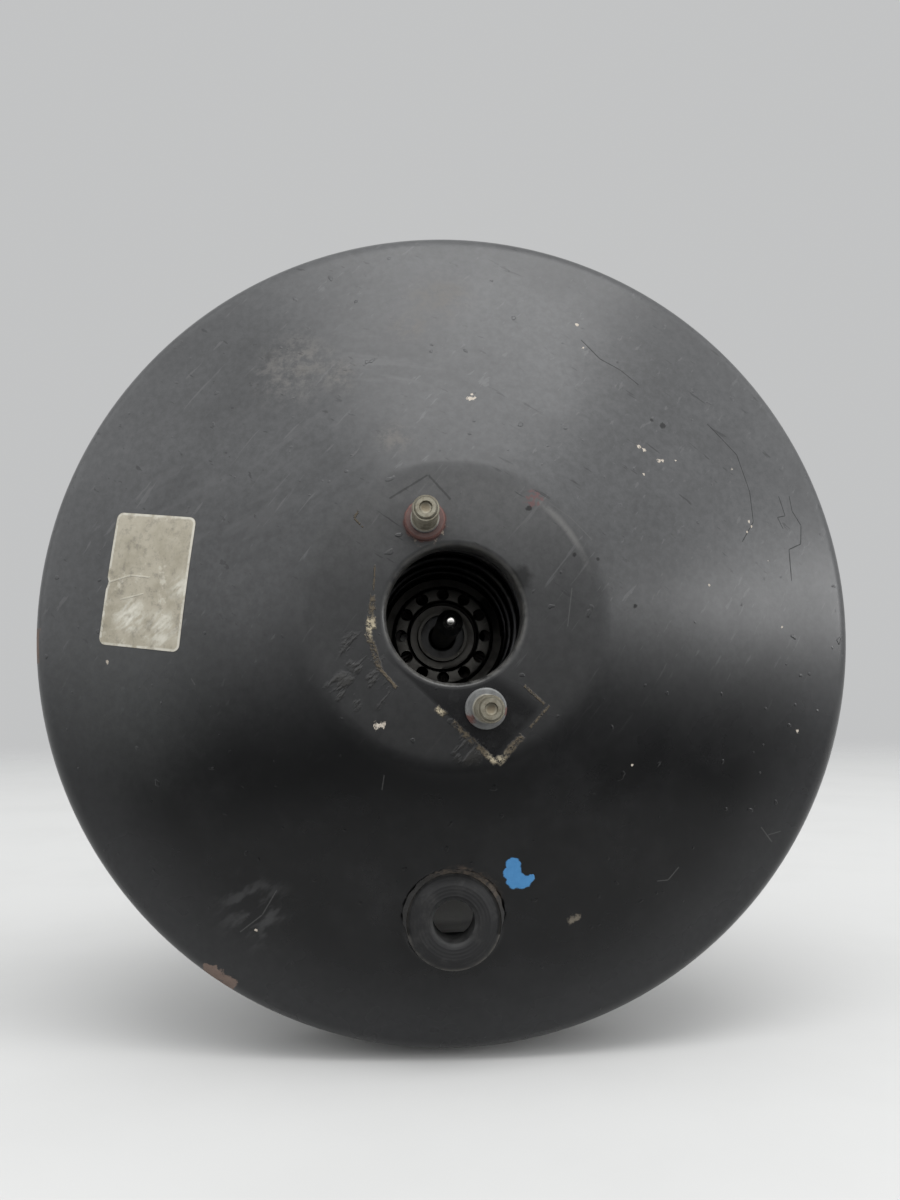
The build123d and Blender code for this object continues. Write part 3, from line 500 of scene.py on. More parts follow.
rubber_inside = black_rubber("inner_rubber").done()
plate_inside = zinc_plate("inner_plating", (0.40, 0.40, 0.38), 0.15).done()
smooth_copy("neck_guide", "neck_bush", "housing", moulded_resin("bush_resin", (0.30, 0.29, 0.25)), "moulding")
smooth_copy("neck_lip_seal", "neck_seal", "housing", rubber_inside, "rubber")
smooth_copy("neck_washer", "neck_seal_retainer", "housing", plate_inside, "zinc_steel")

# Power piston. The moulded valve body carries the pressed plate and the rolling rubber diaphragm, whose
# outer bead is clamped between the shells while the rest goes forward with the plate.
body_resin = moulded_resin("valve_body_resin", (0.030, 0.024, 0.018))
smooth_copy("valve_body_moulding", "valve_body", "power_piston", body_resin, "moulding")
# The diaphragm plate's pale grey is partly painted light: its grey was made paler so that the plate shows lit
# through the grommet's bore.
plate_steel = Finish("diaphragm_plate_steel", (0.64, 0.64, 0.62), 0.5, metallic=0.1)
plate_steel.tint(plate_steel.ramp(plate_steel.noise(120, 4, 0.6), 0.4, 0.7, 0, 0.5), (0.52, 0.52, 0.50))
plate_steel.raise_by(plate_steel.noise(600, 2, 0.5), 0.01)
plate_steel = plate_steel.done()
smooth_copy("diaphragm_plate_pressing", "diaphragm_plate", "power_piston", plate_steel, "zinc_steel")
talc_rubber = black_rubber("diaphragm_rubber", 0.15, 0.6).done()
rolling = smooth_copy("rolling_diaphragm", "diaphragm", None, talc_rubber, "rubber")
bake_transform(rolling)

# Control valve. A turned plunger in the valve body's bore, its stop key, the rubber poppet with its
# spring and ring, and the spring that brings the pedal's rod back, with room left for the cup to tilt.
turned_steel = zinc_plate("turned_steel", (0.36, 0.36, 0.36), 0.1).done()
smooth_copy("valve_plunger", "control_plunger", "control_plunger", turned_steel, "zinc_steel")
smooth_copy("plunger_key", "stop_key", "power_piston", plate_inside, "zinc_steel")
smooth_copy("poppet", "poppet_valve", "power_piston", rubber_inside, "rubber")
smooth_copy("poppet_ring", "poppet_retainer", "power_piston", plate_inside, "zinc_steel")


def coil_tree(name, material):
    """A coil spring with closed ends, wound along -Y between two heights."""
    sizes = ["Radius", "Wire", "Low", "High", "Turns"]
    tree, given, output = new_tree(name, sizes)
    line = tree.nodes.new("GeometryNodeCurvePrimitiveLine")
    points = tree.nodes.new("GeometryNodeResampleCurve")
    tree.links.new(line.outputs["Curve"], points.inputs["Curve"])
    tree.links.new(tree_sum(tree, "MULTIPLY", given.outputs["Turns"], 48.0), points.inputs["Count"])
    along = tree.nodes.new("GeometryNodeSplineParameter").outputs["Factor"]
    turn = tree_sum(tree, "MULTIPLY", tree_sum(tree, "MULTIPLY", along, given.outputs["Turns"]), 2 * math.pi)
    rise = tree.nodes.new("ShaderNodeMapRange")
    rise.interpolation_type = "SMOOTHSTEP"
    tree.links.new(along, rise.inputs["Value"])
    half_wire = tree_sum(tree, "MULTIPLY", given.outputs["Wire"], 0.5)
    tree.links.new(tree_sum(tree, "ADD", given.outputs["Low"], half_wire), rise.inputs["To Min"])
    tree.links.new(tree_sum(tree, "SUBTRACT", given.outputs["High"], half_wire), rise.inputs["To Max"])
    place = tree.nodes.new("ShaderNodeCombineXYZ")
    cosine = tree_sum(tree, "MULTIPLY", tree_sum(tree, "COSINE", turn, 0.0), given.outputs["Radius"])
    sine = tree_sum(tree, "MULTIPLY", tree_sum(tree, "SINE", turn, 0.0), given.outputs["Radius"])
    tree.links.new(cosine, place.inputs["X"])
    tree.links.new(tree_sum(tree, "MULTIPLY", rise.outputs["Result"], -1.0), place.inputs["Y"])
    tree.links.new(sine, place.inputs["Z"])
    moved = tree.nodes.new("GeometryNodeSetPosition")
    tree.links.new(points.outputs["Curve"], moved.inputs["Geometry"])
    tree.links.new(place.outputs["Vector"], moved.inputs["Position"])
    wire = tree.nodes.new("GeometryNodeCurvePrimitiveCircle")
    wire.inputs["Resolution"].default_value = 16
    tree.links.new(half_wire, wire.inputs["Radius"])
    wound = tree.nodes.new("GeometryNodeCurveToMesh")
    tree.links.new(moved.outputs["Geometry"], wound.inputs["Curve"])
    tree.links.new(wire.outputs["Curve"], wound.inputs["Profile Curve"])
    wound.inputs["Fill Caps"].default_value = True
    closing(tree, wound.outputs["Mesh"], output, material)
    return tree


def spring_steel(name):
    """Drawn spring wire, oiled and nearly black, with bright rub marks."""
    steel = Finish(name, (0.085, 0.085, 0.088), 0.33, metallic=1.0)
    steel.tint(steel.ramp(steel.noise(240, 4, 0.6), 0.5, 0.75, 0, 0.6), (0.20, 0.19, 0.175))
    steel.matt(steel.ramp(steel.noise(500, 3, 0.6), 0.4, 0.7), 0.48)
    steel.raise_by(steel.noise(1500, 2, 0.6), 0.008)
    return steel.done()


wire_steel = spring_steel("spring_wire_steel")
spring_winding = coil_tree("coil_spring", wire_steel)


def spring(name, node, body, radius, wire, low, high, turns):
    """A wound spring piece in place of its solid."""
    sizes = {"Radius": radius * MM, "Wire": wire * MM, "Low": low * MM, "High": high * MM, "Turns": turns}
    mesh = tree_mesh(name, spring_winding, sizes, [(0, 0, 0)])
    return placed(name, mesh, body, wire_steel, "spring_steel", node)


spring("poppet_coil", "poppet_spring", "power_piston", 10.6, 1.2, -31.3, -21.4, 4.0)
input_coil = spring("input_coil", "input_return_spring", "power_piston", 8.5, 1.6, -47.9, -32.7, 5.0)
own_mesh(input_coil)

# Input rod. A plated forged rod whose ball sits in the plunger; the pedal's clevis is screwed on its
# rear end and locked with a hexagon nut, and a pressed cup on its collar takes the input spring.
rod_zinc = zinc_plate("input_rod_plating", (0.50, 0.48, 0.40), 0.4).done()
smooth_copy("pedal_rod", "input_rod", "input_rod", rod_zinc, "zinc_steel")
smooth_copy("pedal_spring_cup", "input_spring_cup", "input_rod", plate_inside, "zinc_steel")
smooth_copy("pedal_locknut", "locknut", "input_rod", rod_zinc, "zinc_steel")
smooth_copy("pedal_clevis", "clevis", "input_rod", rod_zinc, "zinc_steel")

# Filter. A felt ring and a foam ring pushed into the rear of the tube clean and quieten the air that the
# valve lets in.
felt = Finish("felt_fibres", (0.33, 0.32, 0.29), 0.95)
felt.tint(felt.ramp(felt.noise(900, 4, 0.8, felt.stretched((1, 0.16, 1))), 0.4, 0.7), (0.20, 0.19, 0.175))
felt.raise_by(felt.noise(1200, 3, 0.7), 0.15)
smooth_copy("silencer_ring", "silencer_felt", "power_piston", felt.done(), "felt")
foam = Finish("open_foam", (0.10, 0.10, 0.10), 0.9)
foam.tint(foam.ramp(foam.noise(1100, 3, 0.6), 0.45, 0.6), (0.02, 0.02, 0.02))
foam.raise_by(foam.noise(1100, 3, 0.6), 0.3)
smooth_copy("filter_ring", "air_filter", "power_piston", foam.done(), "foam")

# Dust boot. Moulded rubber bellows: a cuff on the neck, four folds, and an end collar on the valve
# body's tube with a hole for the pedal's rod. The folds close up as the piston goes forward.
boot_rubber = black_rubber("boot_rubber", 0.020, 0.6).done()
CUFF_RADIUS = 26.65
CUFF_END = 23.6
FOLD_CREST, FOLD_ROOT = 29.5, 24.0
FOLDS_END = 59
COLLAR_RADIUS = 20.65
COLLAR_END = 65.65
fold_pitch = (FOLDS_END - CUFF_END) / 4.5
boot_corners = [(CUFF_RADIUS, -9), (CUFF_RADIUS, -CUFF_END)]
for fold in range(4):
    boot_corners.append((FOLD_CREST, -CUFF_END - (fold + 0.5) * fold_pitch))
    boot_corners.append((FOLD_ROOT, -CUFF_END - (fold + 1) * fold_pitch))
boot_corners += [(COLLAR_RADIUS, -FOLDS_END), (COLLAR_RADIUS, -COLLAR_END), (9.8, -COLLAR_END)]
boot_line = bent(boot_corners, [1.7] * (len(boot_corners) - 2), 6)
cuff_last = next(index for index, point in enumerate(boot_line) if point.y < -23.0)
cuff_mesh = lathe("boot_cuff", divided(sheet_loop(boot_line[:cuff_last + 1], 1.6), 3.0), even_turn(96))
placed("boot_cuff", cuff_mesh, "housing", boot_rubber, "rubber", "dust_boot")
bellows_mesh = lathe("boot_bellows", divided(sheet_loop(boot_line[cuff_last:], 1.6), 3.0), even_turn(96))
bellows = placed("boot_bellows", bellows_mesh, "housing", boot_rubber, "rubber", "dust_boot")
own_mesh(bellows)

# Push rod, reaction disc and perforated spring seat. The steel rod stands on a rubber disc in the hub,
# and the pressed seat that takes the return spring holds its head down and lets the air through.
smooth_copy("reaction_rubber", "reaction_disc", "power_piston", rubber_inside, "rubber")
# The push rod's near-black shaft is partly painted shade deep in the hub, and the light band at its domed tip
# is a painted highlight.
rod_steel = Finish("push_rod_steel_painted_light", (0.10, 0.10, 0.10), 0.34, metallic=1.0)
rod_front = rod_steel.vector("DOT_PRODUCT", rod_steel.place, (0, -1, 0))
rod_steel.tint(rod_steel.ramp(rod_steel.noise(300, 4, 0.6), 0.5, 0.75, 0, 0.6), (0.045, 0.043, 0.040))
rod_steel.tint(rod_steel.ramp(rod_front, 0.0905, 0.0925), (0.62, 0.61, 0.58))
rod_steel.matt(rod_steel.ramp(rod_front, 0.0905, 0.0925), 0.2)
rod_steel.raise_by(rod_steel.noise(900, 2, 0.5, rod_steel.stretched((1, 0.12, 1))), 0.01)
smooth_copy("push_rod", "output_push_rod", "power_piston", rod_steel.done(), "zinc_steel")
seat_steel = Finish("spring_seat_steel", (0.13, 0.125, 0.115), 0.36, metallic=1.0)
seat_steel.tint(seat_steel.ramp(seat_steel.noise(180, 4, 0.6), 0.45, 0.75, 0, 0.7), (0.055, 0.052, 0.048))
seat_steel.tint(seat_steel.ramp(seat_steel.noise(700, 4, 0.7), 0.60, 0.72, 0, 0.5), (0.30, 0.29, 0.26))
seat_steel.raise_by(seat_steel.noise(1100, 2, 0.5), 0.01)
smooth_copy("perforated_seat", "spring_seat", "power_piston", seat_steel.done(), "zinc_steel")

# Return spring. Heavy oiled spring wire with closed ends, wound to stand between the front shell and the
# perforated seat, and pushed together as the piston goes forward.
return_coil = spring("return_coil", "return_spring", "housing", 25.5, 3.6, 17.25, 112.4, 6.5)
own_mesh(return_coil)

# Front shell. It is dipped in black paint, which years under a bonnet have scuffed, chipped and
# stained.
PAD = 118.0
PAD_RADIUS = 46
SPIGOT_RADIUS = 21
SPIGOT_DEPTH = 9
WALL_RADIUS = 140
CONE_FOOT = 83
WALL_FOOT = 62.5
RIM_RADIUS = 143.0
RIM_TOP = 59.5
RIM_FOOT = 45
CONE = (PAD - CONE_FOOT) / (WALL_RADIUS - PAD_RADIUS)
GROMMET = (0, -94.0)
SEAT_HEIGHT = PAD - CONE * (-GROMMET[1] - PAD_RADIUS) - 1.0
SEAT_RADIUS = 15.8
SEAT_EDGE = 0.5
SEAT_REACH = 20
CONE_LOWEST = 80


def cone_height(radius):
    """Height of the cone's face at a radius."""
    return PAD - CONE * (radius - PAD_RADIUS)


def pressed_seat(x, y, height):
    """Lowers or lifts the cone to the grommet's flat seat, with a soft pressed edge round it."""
    distance = math.hypot(x - GROMMET[0], y - GROMMET[1])
    if distance > SEAT_REACH or height < CONE_LOWEST:
        return height
    under = height < cone_height(math.hypot(x, y)) - SHEET / 2
    flat = SEAT_HEIGHT - (SHEET if under else 0)
    part = min(1, max(0, (SEAT_RADIUS + SEAT_EDGE - distance) / (2 * SEAT_EDGE)))
    return height + (flat - height) * part * part * (3 - 2 * part)


def cut(mesh, cutter):
    """The mesh with a closed cutter taken out of it."""
    kept = bpy.data.objects.new("kept", mesh)
    tool = bpy.data.objects.new("tool", cutter)
    for thing in (kept, tool):
        bpy.context.scene.collection.objects.link(thing)
    bore = kept.modifiers.new("bore", "BOOLEAN")
    bore.operation = "DIFFERENCE"
    bore.solver = "EXACT"
    bore.object = tool
    shaped = kept.evaluated_get(bpy.context.evaluated_depsgraph_get())
    result = bpy.data.meshes.new_from_object(shaped)
    bpy.data.objects.remove(kept)
    bpy.data.objects.remove(tool)
    return result


TAB_COUNT = 20
TAB_SHEET = 1.8
TAB_WIDTH = 14.0
TAB_DEPTH = -46.9
TAB_DENT = 0.7


def tab_tree(name, material):
    """Blocks evenly round a circle across the axis, one for each tab."""
    tree, given, output = new_tree(name, ["Radius", "Length", "Width", "Sheet", "Depth"])
    circle = tree.nodes.new("GeometryNodeMeshCircle")
    circle.inputs["Vertices"].default_value = TAB_COUNT
    tree.links.new(given.outputs["Radius"], circle.inputs["Radius"])
    size = tree.nodes.new("ShaderNodeCombineXYZ")
    for axis, name_of_size in zip("XYZ", ("Length", "Width", "Sheet")):
        tree.links.new(given.outputs[name_of_size], size.inputs[axis])
    block = tree.nodes.new("GeometryNodeMeshCube")
    tree.links.new(size.outputs["Vector"], block.inputs["Size"])
    turn = tree.nodes.new("ShaderNodeCombineXYZ")
    index = tree.nodes.new("GeometryNodeInputIndex").outputs["Index"]
    tree.links.new(tree_sum(tree, "MULTIPLY", index, 2 * math.pi / TAB_COUNT), turn.inputs["Z"])
    copies = tree.nodes.new("GeometryNodeInstanceOnPoints")
    tree.links.new(circle.outputs["Mesh"], copies.inputs["Points"])
    tree.links.new(block.outputs["Mesh"], copies.inputs["Instance"])
    tree.links.new(turn.outputs["Vector"], copies.inputs["Rotation"])
    level = tree.nodes.new("GeometryNodeTransform")
    tree.links.new(copies.outputs["Instances"], level.inputs["Geometry"])
    level.inputs["Rotation"].default_value = (math.pi / 2, 0, 0)
    depth = tree.nodes.new("ShaderNodeCombineXYZ")
    tree.links.new(given.outputs["Depth"], depth.inputs["Y"])
    tree.links.new(depth.outputs["Vector"], level.inputs["Translation"])
    closing(tree, level.outputs["Geometry"], output, material)
    return tree


front_line = bent(
    [(SPIGOT_RADIUS, PAD - SPIGOT_DEPTH), (SPIGOT_RADIUS, PAD), (PAD_RADIUS, PAD), (WALL_RADIUS, CONE_FOOT),
     (WALL_RADIUS, WALL_FOOT), (RIM_RADIUS, RIM_TOP), (RIM_RADIUS, RIM_FOOT)],
    [2.0, 14.0, 8.0, 2.5, 2.5], 10)
COARSE_STEP = 1.8
FINE_STEP = 0.4
FINE_FROM, FINE_TO = 256, 284
front_angles = [math.radians(COARSE_STEP * step) for step in range(200)
                if not FINE_FROM < COARSE_STEP * step < FINE_TO]
front_angles += [math.radians(FINE_FROM + FINE_STEP * step) for step in range(71)]
front_loop = divided(sheet_loop(front_line, SHEET), 5.0, (76, 112, 0.85))
front_mesh = lathe("front_shell_pressing", front_loop, sorted(front_angles), move=pressed_seat)
punch = [Vector(point) for point in ((0, 90), (10.02, 90), (10.02, 110), (0, 110))]
front_mesh = cut(front_mesh, lathe("punch", punch, even_turn(64), GROMMET))
paint = dipped_paint("front_shell_paint")
rim_blocks = tab_tree("lanced_tabs", paint.material)
dents = {"Radius": RIM_RADIUS * MM, "Length": 2 * TAB_DENT * MM, "Width": (TAB_WIDTH - 2 * TAB_SHEET) * MM,
         "Sheet": TAB_SHEET * MM, "Depth": TAB_DEPTH * MM}
front_mesh = cut(front_mesh, tree_mesh("rim_dents", rim_blocks, dents, [(0, 0, 0)]))
height_up = paint.vector("DOT_PRODUCT", paint.place, (0, 0, 1))
upper = paint.ramp(height_up, -0.055, 0.028)
cloud = paint.ramp(paint.noise(13, 5, 0.58), 0.36, 0.70)
grain = paint.ramp(paint.noise(420, 4, 0.7), 0.25, 0.75, 0.70, 1.0)
from_axis = paint.vector("DISTANCE", paint.vector("MULTIPLY", paint.place, (1, 0, 1)), (0, 0, 0))
rim_film = paint.both(paint.ramp(from_axis, 0.104, 0.140), grain)
paint.tint(paint.sum("MULTIPLY", rim_film, 0.42), (0.046, 0.047, 0.049))
# Pale dust over the upper cone, partly a painted sheen: the upper half is painted lighter down to where the
# bright room's reflection ends.
upper_dust_and_sheen = paint.both(paint.both(upper, paint.sum("MULTIPLY_ADD", cloud, 0.34, 0.68)), grain)
upper_dust_and_sheen = paint.both(upper_dust_and_sheen, paint.ramp(from_axis, 0.036, 0.056, 0.5, 1.0))
paint.tint(upper_dust_and_sheen, (0.072, 0.073, 0.075))
paint.matt(paint.sum("MULTIPLY", upper, 0.5), 0.34)
# Pale dust on the pad, partly a painted sheen: it is painted lighter towards the pad's top.
pad_dust_and_sheen = paint.both(paint.ramp(from_axis, 0.052, 0.040), paint.ramp(height_up, 0.004, 0.046, 0.22, 1.0))
paint.tint(paint.both(pad_dust_and_sheen, paint.sum("MULTIPLY", grain, 0.76)), (0.102, 0.102, 0.102))
lower_place = paint.stretched((1, 1, 1), shift=(0.4, 0.3, 0.1))
lower_film = paint.both(paint.ramp(paint.noise(30, 6, 0.7, lower_place), 0.46, 0.76), grain)
paint.tint(paint.sum("MULTIPLY", lower_film, 0.35), (0.022, 0.022, 0.023))
# A pale patch low on the left of the cone, partly dust and partly a painted sheen that carries the upper
# cone's lighter tone further down.
left_dust_and_sheen = paint.both(paint.spot((-104, -95, -22), 46, 0.9), grain)
paint.tint(paint.sum("MULTIPLY", left_dust_and_sheen, 0.5), (0.060, 0.062, 0.062))

# Marks that a cloth and a hand left in the dust: long strokes up the left of the cone and soft patches.
sweeps = paint.most(
    paint.both(paint.strokes(lean, scale, length, shift, 0.48, 0.66), paint.spot(place, radius, 0.8))
    for lean, scale, length, shift, place, radius in (
        (68, 130, 12, (0.1, 0, 0.3), (-78, -104, 42), 48), (54, 150, 12, (0.4, 0, 0.1), (-48, -106, 52), 34),
        (101, 260, 20, (0.6, 0, 0.2), (-22, -104, 84), 26),
        (48, 230, 10, (0.7, 0, 0.5), (-62, -93, -92), 18)))
paint.tint(paint.sum("MULTIPLY", sweeps, 0.26), (0.100, 0.100, 0.102))
smudge = paint.most(paint.spot(place, radius, 0.9, 0.55, 80) for place, radius in (
    ((-52, -98, 85), 19), ((-37, -101, 81), 10), ((-14, -98, 98), 10), ((-3, -93, 112), 15),
    ((-18, -112, 56), 8)))
smudge = paint.both(smudge, paint.ramp(paint.noise(210, 6, 0.75), 0.40, 0.64))
paint.tint(paint.sum("MULTIPLY", smudge, 0.65), (0.125, 0.118, 0.110))
paint.matt(smudge, 0.55)
soot_place = paint.stretched((1, 1, 1), shift=(0.2, 0.5, 0.9))
soot = paint.ramp(paint.noise(130, 5, 0.7, soot_place), 0.56, 0.70)
soot = paint.both(paint.spot((-56, -97, 88), 22, 0.8), soot)
paint.tint(paint.sum("MULTIPLY", soot, 0.5), (0.022, 0.022, 0.022))

# A painted highlight on the pad's rounded edge at the upper right, mixed with rubbed wear, and fine hairlines
# all over the upper cone.
pad_edge_highlight_and_wear = paint.both(paint.ramp(from_axis, 0.0418, 0.0434), paint.ramp(from_axis, 0.0452, 0.0436))
pad_edge_highlight_patch = paint.both(paint.spot((34, -118, 27), 18, 0.8, 0.4, 120),
                       paint.ramp(paint.noise(300, 4, 0.7), 0.28, 0.58))
pad_edge_highlight_and_wear = paint.both(pad_edge_highlight_and_wear, pad_edge_highlight_patch)
paint.tint(paint.sum("MULTIPLY", pad_edge_highlight_and_wear, 0.40), (0.190, 0.186, 0.180))
pale_hairs = paint.both(paint.strokes(38, 430, 14, (0.3, 0, 0.9), 0.64, 0.70), upper)
paint.tint(paint.sum("MULTIPLY", pale_hairs, 0.26), (0.130, 0.130, 0.132))
dark_hairs = paint.both(paint.strokes(-57, 460, 9, (0.8, 0, 0.2), 0.66, 0.71), upper)
paint.tint(paint.sum("MULTIPLY", dark_hairs, 0.6), (0.018, 0.018, 0.019))

# The master cylinder's flange kept the paint inside its outline dark and clean, between two legs of old
# sealer that meet below the lower stud; a gasket's torn film is left beside the hole.
LEG_APEX, LEG_LEFT = (12.4, -117.8, -45.2), (-5.8, -118, -28.1)
LEG_RIGHT, LEG_BACK = (28.6, -118, -27.7), (20.8, -118, -21.8)


def inside_leg(start, end, side, edge_width):
    """One on the stud's side of a leg's line, none beyond it."""
    run = Vector((end[0] - start[0], end[2] - start[2])).normalized()
    inward = (-run.y * side, 0, run.x * side)
    offset = paint.vector("DOT_PRODUCT", paint.place, inward)
    edge = (inward[0] * start[0] + inward[2] * start[2]) * MM
    return paint.ramp(offset, edge, edge + edge_width * MM)


printed = paint.both(inside_leg(LEG_APEX, LEG_LEFT, -1, 1.4), inside_leg(LEG_APEX, LEG_RIGHT, 1, 3.2))
below_hole = paint.both(inside_leg(LEG_RIGHT, LEG_BACK, 1, 5.0), paint.ramp(height_up, -0.010, -0.020))
printed = paint.both(printed, below_hole)
printed = paint.both(printed, paint.ramp(paint.noise(150, 4, 0.7), 0.26, 0.46, 0.55, 1.0))
paint.tint(paint.sum("MULTIPLY", printed, 0.85), (0.0034, 0.0034, 0.0038))
paint.matt(paint.sum("MULTIPLY", printed, 0.8), 0.22)
outline = paint.most(paint.streak(start, end, 0.9, 0.7, 0.4, 420) for start, end in (
    ((-8.0, -118, 43), (-20, -118, 35.4)), ((-8.0, -118, 43), (-1.0, -118, 35.2))))
paint.tint(paint.sum("MULTIPLY", outline, 0.5), (0.008, 0.008, 0.008))
torn = paint.most(paint.spot(place, radius, 0.6, 0.55, 180) for place, radius in (
    ((-28, -118, -12), 8), ((-26, -118, -23), 8), ((-34, -118, -22), 6), ((4, -118, -41), 6)))
wrinkle = paint.both(torn, paint.strokes(40, 300, 3, (0.3, 0, 0.6), 0.46, 0.62))
paint.raise_by(wrinkle, 0.30)
paint.tint(paint.sum("MULTIPLY", wrinkle, 0.35), (0.040, 0.038, 0.034))
crust = paint.most(
    paint.streak(start, end, width, 0.6, 0.9, 520) for start, end, width in (
        (LEG_APEX, (-1.0, -118, -32.5), 2.2), ((-3.0, -118, -30.7), LEG_LEFT, 2.4),
        (LEG_APEX, (20.4, -118, -36.6), 2.6), ((22.4, -118, -34.4), LEG_RIGHT, 1.0),
        (LEG_BACK, (27.0, -118, -27.4), 1.1), ((-24.6, -118, 6.0), (-26.2, -118, -7), 2.3),
        ((-26.0, -118, -6), (-22.6, -118, -17), 2.3), ((-22.8, -118, -16.4), (-17.5, -118, -22.4), 1.4),
        ((-24.2, -118, 15), (-24.6, -118, 7), 0.8),
        ((-29.0, -118, 32), (-30.6, -118, 29.4), 0.9), ((-30.6, -118, 29.4), (-27.8, -118, 26.4), 0.7),
        ((12.2, -117.8, -44.2), (12.2, -117.8, -42.4), 4.2), ((-25.4, -118, -4.5), (-25.0, -118, -0.5), 3.2)))
crust = paint.both(crust, paint.ramp(paint.noise(620, 4, 0.7), 0.38, 0.54))
pale = paint.most(paint.spot(place, radius, 0.9) for place, radius in (
    ((12.2, -117.8, -43.2), 4.5), ((-4.8, -118, -29.2), 2.6), ((-25.2, -118, -4.0), 5.0)))
crust_pale = paint.both(pale, paint.noise(900, 3, 0.6))
paint.tint(crust, paint.tinted(crust_pale, (0.085, 0.070, 0.050), (0.66, 0.58, 0.42)))
paint.matt(crust, 0.9)
paint.raise_by(crust, 0.35)
damp = paint.spot((20.2, -118, 11.0), 5.2, 0.7, 0.6, 220)
paint.tint(paint.sum("MULTIPLY", damp, 0.75), (0.003, 0.003, 0.003))
# A painted highlight: a lighter ring on the spigot hole's rolled lip, as if the edge caught the light.
lip = paint.both(paint.ramp(from_axis, 0.0226, 0.0216), paint.ramp(paint.noise(260, 4, 0.7), 0.30, 0.62))
paint.tint(paint.sum("MULTIPLY", lip, 0.7), (0.085, 0.083, 0.078))

# Rust round the upper stud and on the rim, and the sealer and dirt on the grommet's seat.
UPPER_STUD = (-9.1, -118, 28.6)
from_stud = paint.vector("DISTANCE", paint.place, [value * MM for value in UPPER_STUD])
collar_rust = paint.fading(from_stud, 7.0, 0.15, 0.16, 480)
rust_colour = paint.tinted(paint.noise(700, 4, 0.7), (0.055, 0.022, 0.020), (0.135, 0.062, 0.052))
paint.tint(paint.sum("MULTIPLY", collar_rust, 0.9), rust_colour)
paint.matt(collar_rust, 0.85)
crumbs = paint.ramp(paint.noise(760, 3, 0.6), 0.57, 0.64)
crumbs = paint.both(paint.fading(from_stud, 8.2, 0.2, 0.2, 480), crumbs)
crumbs = paint.both(crumbs, paint.spot((-7.0, -118, 24.0), 8.5, 0.6))
paint.tint(paint.sum("MULTIPLY", crumbs, 0.9), (0.30, 0.25, 0.20))
red_mark = paint.ramp(paint.noise(760, 3, 0.6), 0.46, 0.58)
red_mark = paint.both(paint.spot((24.6, -118, 35.6), 3.4, 0.3, 0.6, 500), red_mark)
paint.tint(paint.sum("MULTIPLY", red_mark, 0.65), (0.120, 0.055, 0.055))
rust = paint.most(paint.streak(start, end, width, 0.2, 0.9, 240) for start, end, width in (
    ((-81.5, -84.7, -111.5), (-70, -84.7, -118.5), 6.5), ((-140.0, -79, -2), (-139.7, -80, -13), 5.5)))
rim_edge = paint.ramp(paint.vector("DOT_PRODUCT", paint.place, (0, -1, 0)), 0.070, 0.076)
rust = paint.both(rust, paint.both(rim_edge, paint.ramp(paint.noise(300, 4, 0.7), 0.28, 0.40)))
paint.tint(rust, paint.tinted(paint.noise(520, 5, 0.7), (0.085, 0.058, 0.048), (0.165, 0.125, 0.105)))
paint.matt(rust, 0.85)
from_grommet = paint.vector("DISTANCE", paint.vector("MULTIPLY", paint.place, (1, 0, 1)), (0, 0, -0.094))
sealer = paint.spot((8, -104, -80), 11.5, 0.5, 0.5, 180)
sealer = paint.both(paint.fading(from_grommet, 17.9, 0.10, 0.22, 330), sealer)
sealer = paint.both(sealer, paint.ramp(paint.noise(420, 4, 0.7), 0.38, 0.54))
sealer_colour = paint.tinted(paint.noise(700, 4, 0.7), (0.020, 0.015, 0.012), (0.085, 0.066, 0.052))
paint.tint(paint.sum("MULTIPLY", sealer, 0.9), sealer_colour)
paint.matt(sealer, 0.9)

# Knocks from handling: hairlines and a bent gouge in the paint, small chips down to the primer, and one
# dab of blue marking paint.
GOUGE = ((118.0, -88.2, 43.8), (118.6, -88.6, 38.4), (121.8, -88.0, 33.4), (121.0, -89.0, 26.8),
         (115.9, -91.0, 24.5), (116.0, -91.6, 13.6))
SCORE = ((113.6, -89.8, 43.4), (115.5, -90.0, 36.4), (112.3, -91.2, 35.6), (114.2, -91.0, 31.6))
HAIRLINE = ((88.2, -93.7, 67.6), (98.4, -92.7, 57.0), (102.0, -93.8, 43.8), (102.3, -95.0, 33.2),
            (97.2, -97.6, 25.9))
CRACK = ((44.9, -95.6, 96.1), (51.0, -97.0, 88.9), (57.8, -96.8, 85.2), (64.0, -97.0, 79.9))
PITS = (((71.1, -99.2, 65.1), 1.3), ((67.3, -99.7, 66.8), 0.8), ((56.3, -114.1, 2.7), 0.8),
        ((44.3, -117.4, 17.0), 0.7), ((36.8, -117.9, 18.1), 0.9), ((23.1, -118, 32.7), 1.1),
        ((-96, -98, 33), 0.6), ((-34, -104, 70), 0.7))
cuts = paint.most(paint.streak(start, end, 0.42, 0.6, 0.5, 500)
                  for line in (GOUGE, SCORE, CRACK, HAIRLINE) for start, end in zip(line, line[1:]))
pits = paint.most(paint.spot(place, radius, 0.5, 0.9, 600) for place, radius in PITS)
cuts = paint.sum("MAXIMUM", cuts, pits)
paint.tint(paint.sum("MULTIPLY", cuts, 0.72), (0.004, 0.004, 0.004))
paint.matt(cuts, 0.7)
